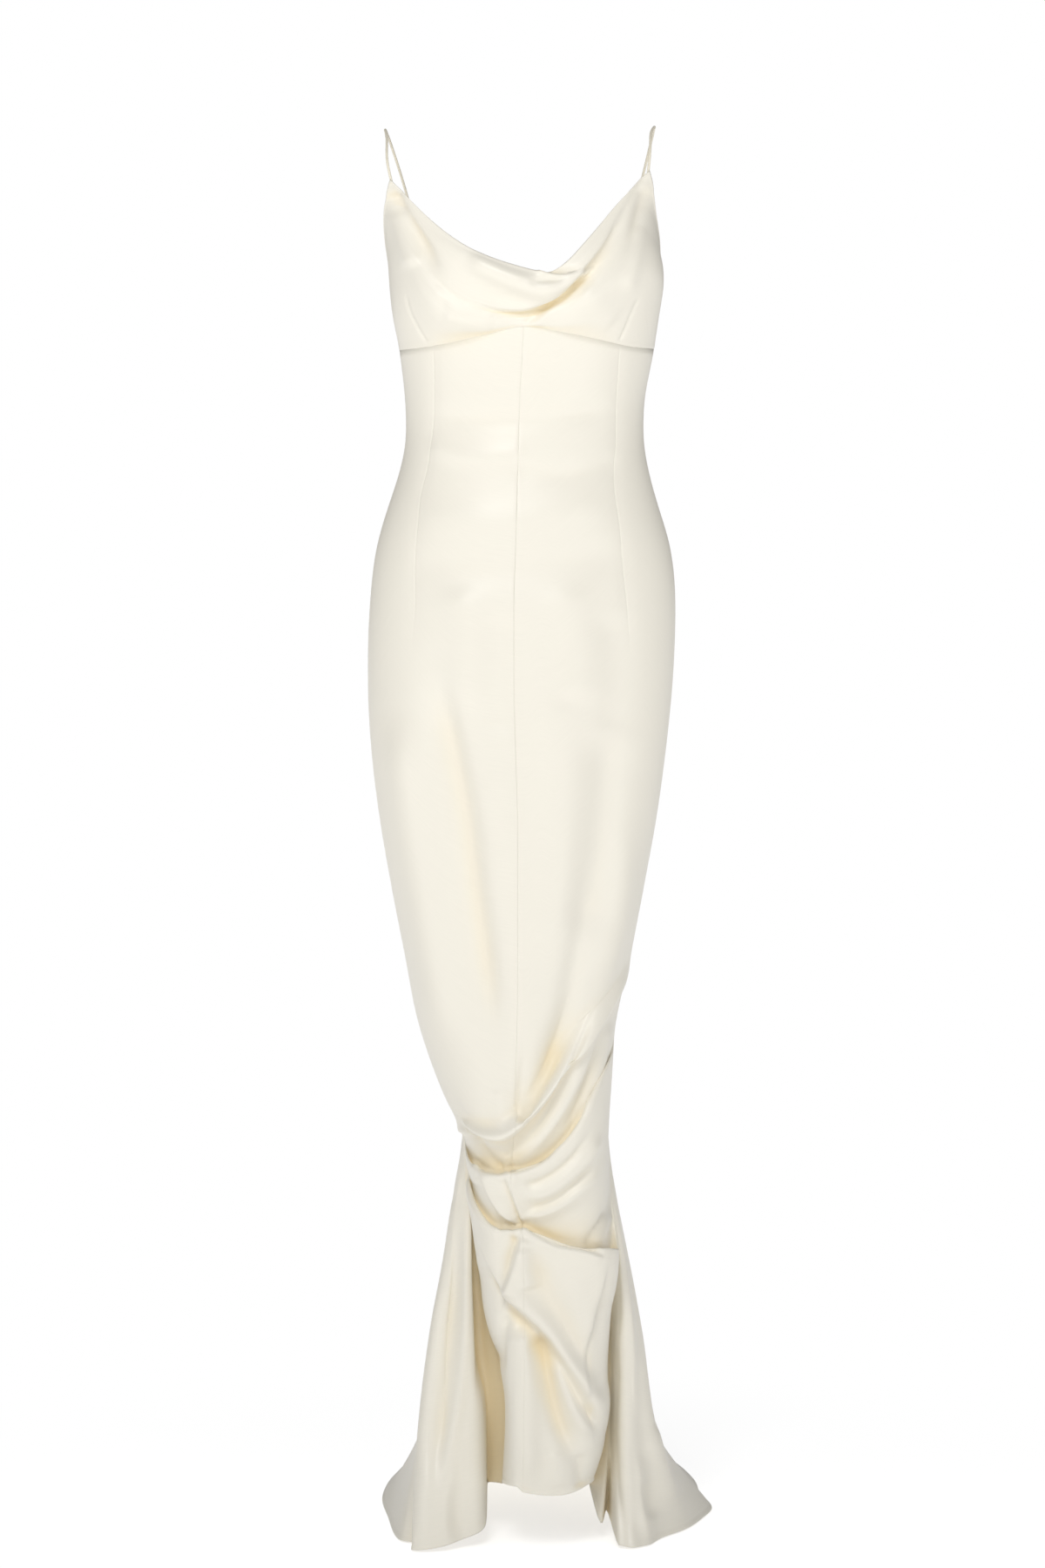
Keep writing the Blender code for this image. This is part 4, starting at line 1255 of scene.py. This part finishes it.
@dataclass
class Strap:
    """A thin rolled strap over the shoulder, its ends sewn inside the bodice and the back, in millimetres."""

    name: str
    node: str
    side: Side
    middle: tuple[tuple[float, float, float], ...]
    radius: float = 1.45
    pressed: float = 0.1
    pressed_width: float = 0.35
    sides: int = 20
    steps: int = 260
    back_place: float = 0.5
    lap: float = 5.0
    clearance: float = 0.5

    def inside(self, edge: np.ndarray) -> np.ndarray:
        """Returns the step from an edge of the cloth to the strap's end, sewn on the inside just below it."""
        inward = -unit(np.array([edge[0], edge[1], 0.0])) * (self.radius + self.clearance)
        return inward + np.array([0, 0, -self.lap])

    def path(self, grid: ClothGrid) -> np.ndarray:
        """Finds the strap's centre line.

        Args:
            grid: The grid of the dress.

        Returns:
            The points in millimetres.
        """
        back = int(np.argmin(abs(grid.back_columns - self.back_place)))
        sign = -1 if self.side is Side.LEFT else 1
        front_end = grid.points[0, grid.column_of(sign * TIP)]
        back_end = grid.points[0, grid.left - back if self.side is Side.LEFT else grid.right + back]
        line = np.array([front_end + self.inside(front_end), *self.middle, back_end + self.inside(back_end)])
        knots = np.concatenate([[0], np.cumsum(np.linalg.norm(np.diff(line, axis=0), axis=1))])
        return spline(knots, line, np.linspace(0, knots[-1], self.steps + 1))

    def build(self, grid: ClothGrid, finish: SatinFinish) -> bpy.types.Object:
        """Builds and dresses the strap.

        Args:
            grid: The grid of the dress.
            finish: The strap's cloth.

        Returns:
            The strap's object.
        """
        centre = self.path(grid) * MM
        ahead = unit(np.gradient(centre, axis=0))
        across = unit(np.cross(ahead, (1.0, 0.0, 0.0)))
        up = np.cross(across, ahead)
        turns = np.arange(self.sides) * 2 * np.pi / self.sides
        from_edge = np.angle(np.exp(1j * (turns - np.pi / 2)))
        sizes = 1 - self.pressed * np.exp(-((from_edge / self.pressed_width) ** 2))
        shape = bmesh.new()
        places = shape.loops.layers.uv.new("cloth")
        # Each point's share of painted fold shade, more where the rolled strap is pressed in.
        share = shape.verts.layers.float.new("hollow")
        rings = []
        for middle, a, b in zip(centre, across, up):
            ring = []
            for turn, size in zip(turns, sizes):
                spoke = np.cos(turn) * a + np.sin(turn) * b
                vert = shape.verts.new(middle + self.radius * MM * size * spoke)
                vert[share] = 1 - size
                ring.append(vert)
            rings.append(ring)
        step = float(np.linalg.norm(np.diff(centre, axis=0), axis=1).mean())
        for i, (ring, following) in enumerate(zip(rings[:-1], rings[1:])):
            for k in range(self.sides):
                other = (k + 1) % self.sides
                face = shape.faces.new((ring[k], ring[other], following[other], following[k]))
                for loop, (u, v) in zip(face.loops, ((k, i), (k + 1, i), (k + 1, i + 1), (k, i + 1))):
                    loop[places].uv = (u * 2 * math.pi * self.radius * MM / self.sides, v * step)
        shape.faces.new(rings[0][::-1])
        shape.faces.new(rings[-1])
        bmesh.ops.recalc_face_normals(shape, faces=shape.faces)
        mesh = bpy.data.meshes.new(self.name)
        shape.to_mesh(mesh)
        shape.free()
        mesh.shade_smooth()
        mesh.materials.append(finish.material())
        made = bpy.data.objects.new(self.name, mesh)
        bpy.context.scene.collection.objects.link(made)
        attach(made, BODY)
        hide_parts(self.node)
        LOG.info("%s: %.0f mm long", self.name, step * self.steps / MM)
        return made


@dataclass(frozen=True)
class SoftLight:
    """A square soft light: where it hangs and points, its side in metres and its power in watts."""

    name: str
    place: tuple[float, float, float]
    aim: tuple[float, float, float]
    size: float
    power: float

    def hang(self) -> None:
        """Adds the light."""
        lamp = bpy.data.lights.new(self.name, "AREA")
        lamp.size = self.size
        lamp.energy = self.power
        made = bpy.data.objects.new(self.name, lamp)
        made.location = self.place
        made.rotation_euler = (Vector(self.aim) - Vector(self.place)).to_track_quat("-Z", "Y").to_euler()
        bpy.context.scene.collection.objects.link(made)


@dataclass
class Studio:
    """A plain pale floor, a white surround, soft lights and the camera at the photograph's angle."""

    lights: tuple[SoftLight, ...] = (
        SoftLight("key", (-0.45, -2.9, 1.25), (0, 0, -0.4), 1.1, 42),
        SoftLight("low_right", (1.4, -1.8, -0.9), (0.1, 0, -1.35), 0.9, 4.2),
        SoftLight("low_left", (-1.6, -1.2, -0.95), (-0.15, 0.05, -1.45), 0.8, 2),
    )
    floor_size: float = 60.0
    floor_height: float = -1.497
    floor_tone: tuple[float, float, float, float] = (0.9, 0.9, 0.9, 1.0)
    floor_roughness: float = 0.9
    floor_glow: float = 0.18
    floor_seen: float = 0.62
    pale_floor_radius: float = 0.1
    white_floor_radius: float = 0.9
    white: tuple[float, float, float, float] = (1.0, 1.0, 1.0, 1.0)
    surround_tone: tuple[float, float, float, float] = (0.99, 0.995, 1.0, 1.0)
    surround: float = 0.225
    surround_change: float = 0.17
    brighter_side: tuple[float, float, float] = (-0.1, -0.9, 0.42)
    camera_place: tuple[float, float, float] = (0.0, -5.0, -0.3002)
    view_drop: float = 0.39
    lens: float = 108.44
    sensor: float = 36.0

    def lay_floor(self) -> None:
        """Adds the floor as a wide pale plate that turns plain white away from the dress."""
        bpy.ops.mesh.primitive_plane_add(size=self.floor_size, location=(0, 0, self.floor_height))
        floor = bpy.context.object
        floor.name = "pale_floor"
        made = bpy.data.materials.new("pale_floor")
        made.use_nodes = True
        tree = made.node_tree
        shader = tree.nodes["Principled BSDF"]
        shader.inputs["Base Color"].default_value = self.floor_tone
        shader.inputs["Roughness"].default_value = self.floor_roughness
        shader.inputs["Emission Color"].default_value = self.white
        glow = add_node(tree, "MapRange", To_Min=self.floor_glow, To_Max=self.floor_seen)
        away = add_node(tree, "VectorMath")
        away.operation = "LENGTH"
        share = add_node(tree, "MapRange", From_Min=self.pale_floor_radius, From_Max=self.white_floor_radius)
        share.interpolation_type = "SMOOTHSTEP"
        mix = add_node(tree, "MixShader")
        link(tree, (add_node(tree, "LightPath"), "Is Camera Ray", glow, "Value"),
             (glow, "Result", shader, "Emission Strength"),
             (add_node(tree, "TexCoord"), "Object", away, 0), (away, "Value", share, "Value"),
             (share, "Result", mix, "Fac"), (shader, "BSDF", mix, 1),
             (add_node(tree, "Emission"), "Emission", mix, 2),
             (mix, "Shader", tree.nodes["Material Output"], "Surface"))
        floor.data.materials.append(made)

    def white_surround(self) -> bpy.types.World:
        """Makes a white surround whose light is stronger from the front, the left and above.

        Returns:
            The world.
        """
        world = bpy.data.worlds.new("white_surround")
        world.use_nodes = True
        tree = world.node_tree
        seen = tree.nodes["Background"]
        seen.inputs["Color"].default_value = self.white
        seen.inputs["Strength"].default_value = 1.0
        lit = add_node(tree, "Background", Color=self.surround_tone)
        facing = add_node(tree, "VectorMath")
        facing.operation = "DOT_PRODUCT"
        facing.inputs[1].default_value = self.brighter_side
        strength = add_node(tree, "MapRange", From_Min=-1.0, To_Min=self.surround - self.surround_change,
                            To_Max=self.surround + self.surround_change)
        mix = add_node(tree, "MixShader")
        link(tree, (add_node(tree, "TexCoord"), "Generated", facing, 0), (facing, "Value", strength, "Value"),
             (strength, "Result", lit, "Strength"),
             (add_node(tree, "LightPath"), "Is Camera Ray", mix, "Fac"),
             (lit, "Background", mix, 1), (seen, "Background", mix, 2),
             (mix, "Shader", tree.nodes["World Output"], "Surface"))
        return world

    def build(self) -> None:
        """Sets up the floor, the surround, the lights, the colour view and the camera."""
        scene = bpy.context.scene
        self.lay_floor()
        scene.world = self.white_surround()
        for light in self.lights:
            light.hang()
        scene.view_settings.view_transform = "Standard"
        lens = bpy.data.cameras.new("camera")
        lens.sensor_width = self.sensor
        lens.lens = self.lens
        camera = bpy.data.objects.new("camera", lens)
        camera.location = self.camera_place
        look_down = math.atan(self.view_drop / abs(self.camera_place[1]))
        camera.rotation_euler = (math.pi / 2 - look_down, 0, 0)
        scene.collection.objects.link(camera)
        scene.camera = camera


# Even columns in half of the front or of the back where a panel is cut, and where none is cut from the grid.
BODICE_COLUMNS = 110
SKIRT_COLUMNS = 72
BACK_COLUMNS = 110
SPARE_FRONT_COLUMNS = 30
SPARE_BACK_COLUMNS = 40
# Finer columns lie this far from a seam or a dart, and even ones keep off them by a share of their spacing.
BESIDE_SEAM = np.array([0, 0.003, 0.006, 0.011, 0.018])
FRONT_SPACING_KEPT = 0.3
BACK_SPACING_KEPT = 0.4
COLUMN_DIGITS = 5


def merged(even: np.ndarray, close: np.ndarray, least: float) -> np.ndarray:
    """Joins even columns and close ones.

    Args:
        even: The even columns.
        close: The close columns, which are all kept.
        least: How far an even column lies at least from a close one.

    Returns:
        The columns in order.
    """
    kept = [column for column in even if np.min(abs(close - column)) > least]
    return np.unique(np.round(np.concatenate([kept, close]), COLUMN_DIGITS))


def fine_columns(count: int) -> np.ndarray:
    """Spreads columns across the front, with finer ones beside the seams and the darts.

    Args:
        count: Even columns in each half.

    Returns:
        The columns from -1 to 1.
    """
    close = [[-TIP, TIP]]
    for place in (-1.0, -DART_PLACE, 0.0, DART_PLACE, 1.0):
        close += [place - BESIDE_SEAM, place + BESIDE_SEAM]
    close = np.concatenate(close)
    close = close[abs(close) <= 1]
    return merged(np.linspace(-1, 1, 2 * count + 1), close, FRONT_SPACING_KEPT / count)


def back_spread(count: int) -> np.ndarray:
    """Spreads columns across half of the back, with finer ones at both seams.

    Args:
        count: Even columns from seam to seam.

    Returns:
        The columns from 0 to 1.
    """
    close = np.concatenate([BESIDE_SEAM, 1 - BESIDE_SEAM, [Strap.back_place]])
    return merged(np.linspace(0, 1, count), close, BACK_SPACING_KEPT / count)


def main() -> None:
    """Builds the dress and the studio, and reports each piece."""
    logging.basicConfig(level=logging.INFO)
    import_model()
    form = DressForm()
    satin = SatinFinish()
    strap_satin = SatinFinish(name="ivory_strap_satin", lit=(0.86, 0.80, 0.66, 1.0), roughness=0.5)
    spare_back = back_spread(SPARE_BACK_COLUMNS)
    bodice_grid = ClothGrid(form, fine_columns(BODICE_COLUMNS), spare_back)
    front_grid = ClothGrid(form, fine_columns(SKIRT_COLUMNS), spare_back)
    back_grid = ClothGrid(form, fine_columns(SPARE_FRONT_COLUMNS), back_spread(BACK_COLUMNS), share=0.5,
                          softening=3, fold_reaches=((2, 0.6), (4, 0.95), (8, 0.7), (16, 0.5)))
    straps = {side: "rolled_strap_" + side.value for side in Side}
    bodice = Bodice("cowl_bodice", "bodice_front", tuple(straps.values()))
    bodice.build(bodice_grid, satin)
    for side in Side:
        word = side.value
        front = SkirtFront("bias_skirt_front_" + word, "skirt_front_" + word, (bodice.name,), side=side)
        front.build(front_grid, satin)
        back = BackPanel("bias_back_" + word, "back_" + word, (straps[side],), side=side)
        back.build(back_grid, satin)
    for side in Side:
        strap = Strap(straps[side], "strap_" + side.value, side, STRAP_POINTS[side])
        strap.build(bodice_grid, strap_satin)
    Studio().build()


if __name__ == "__main__":
    main()
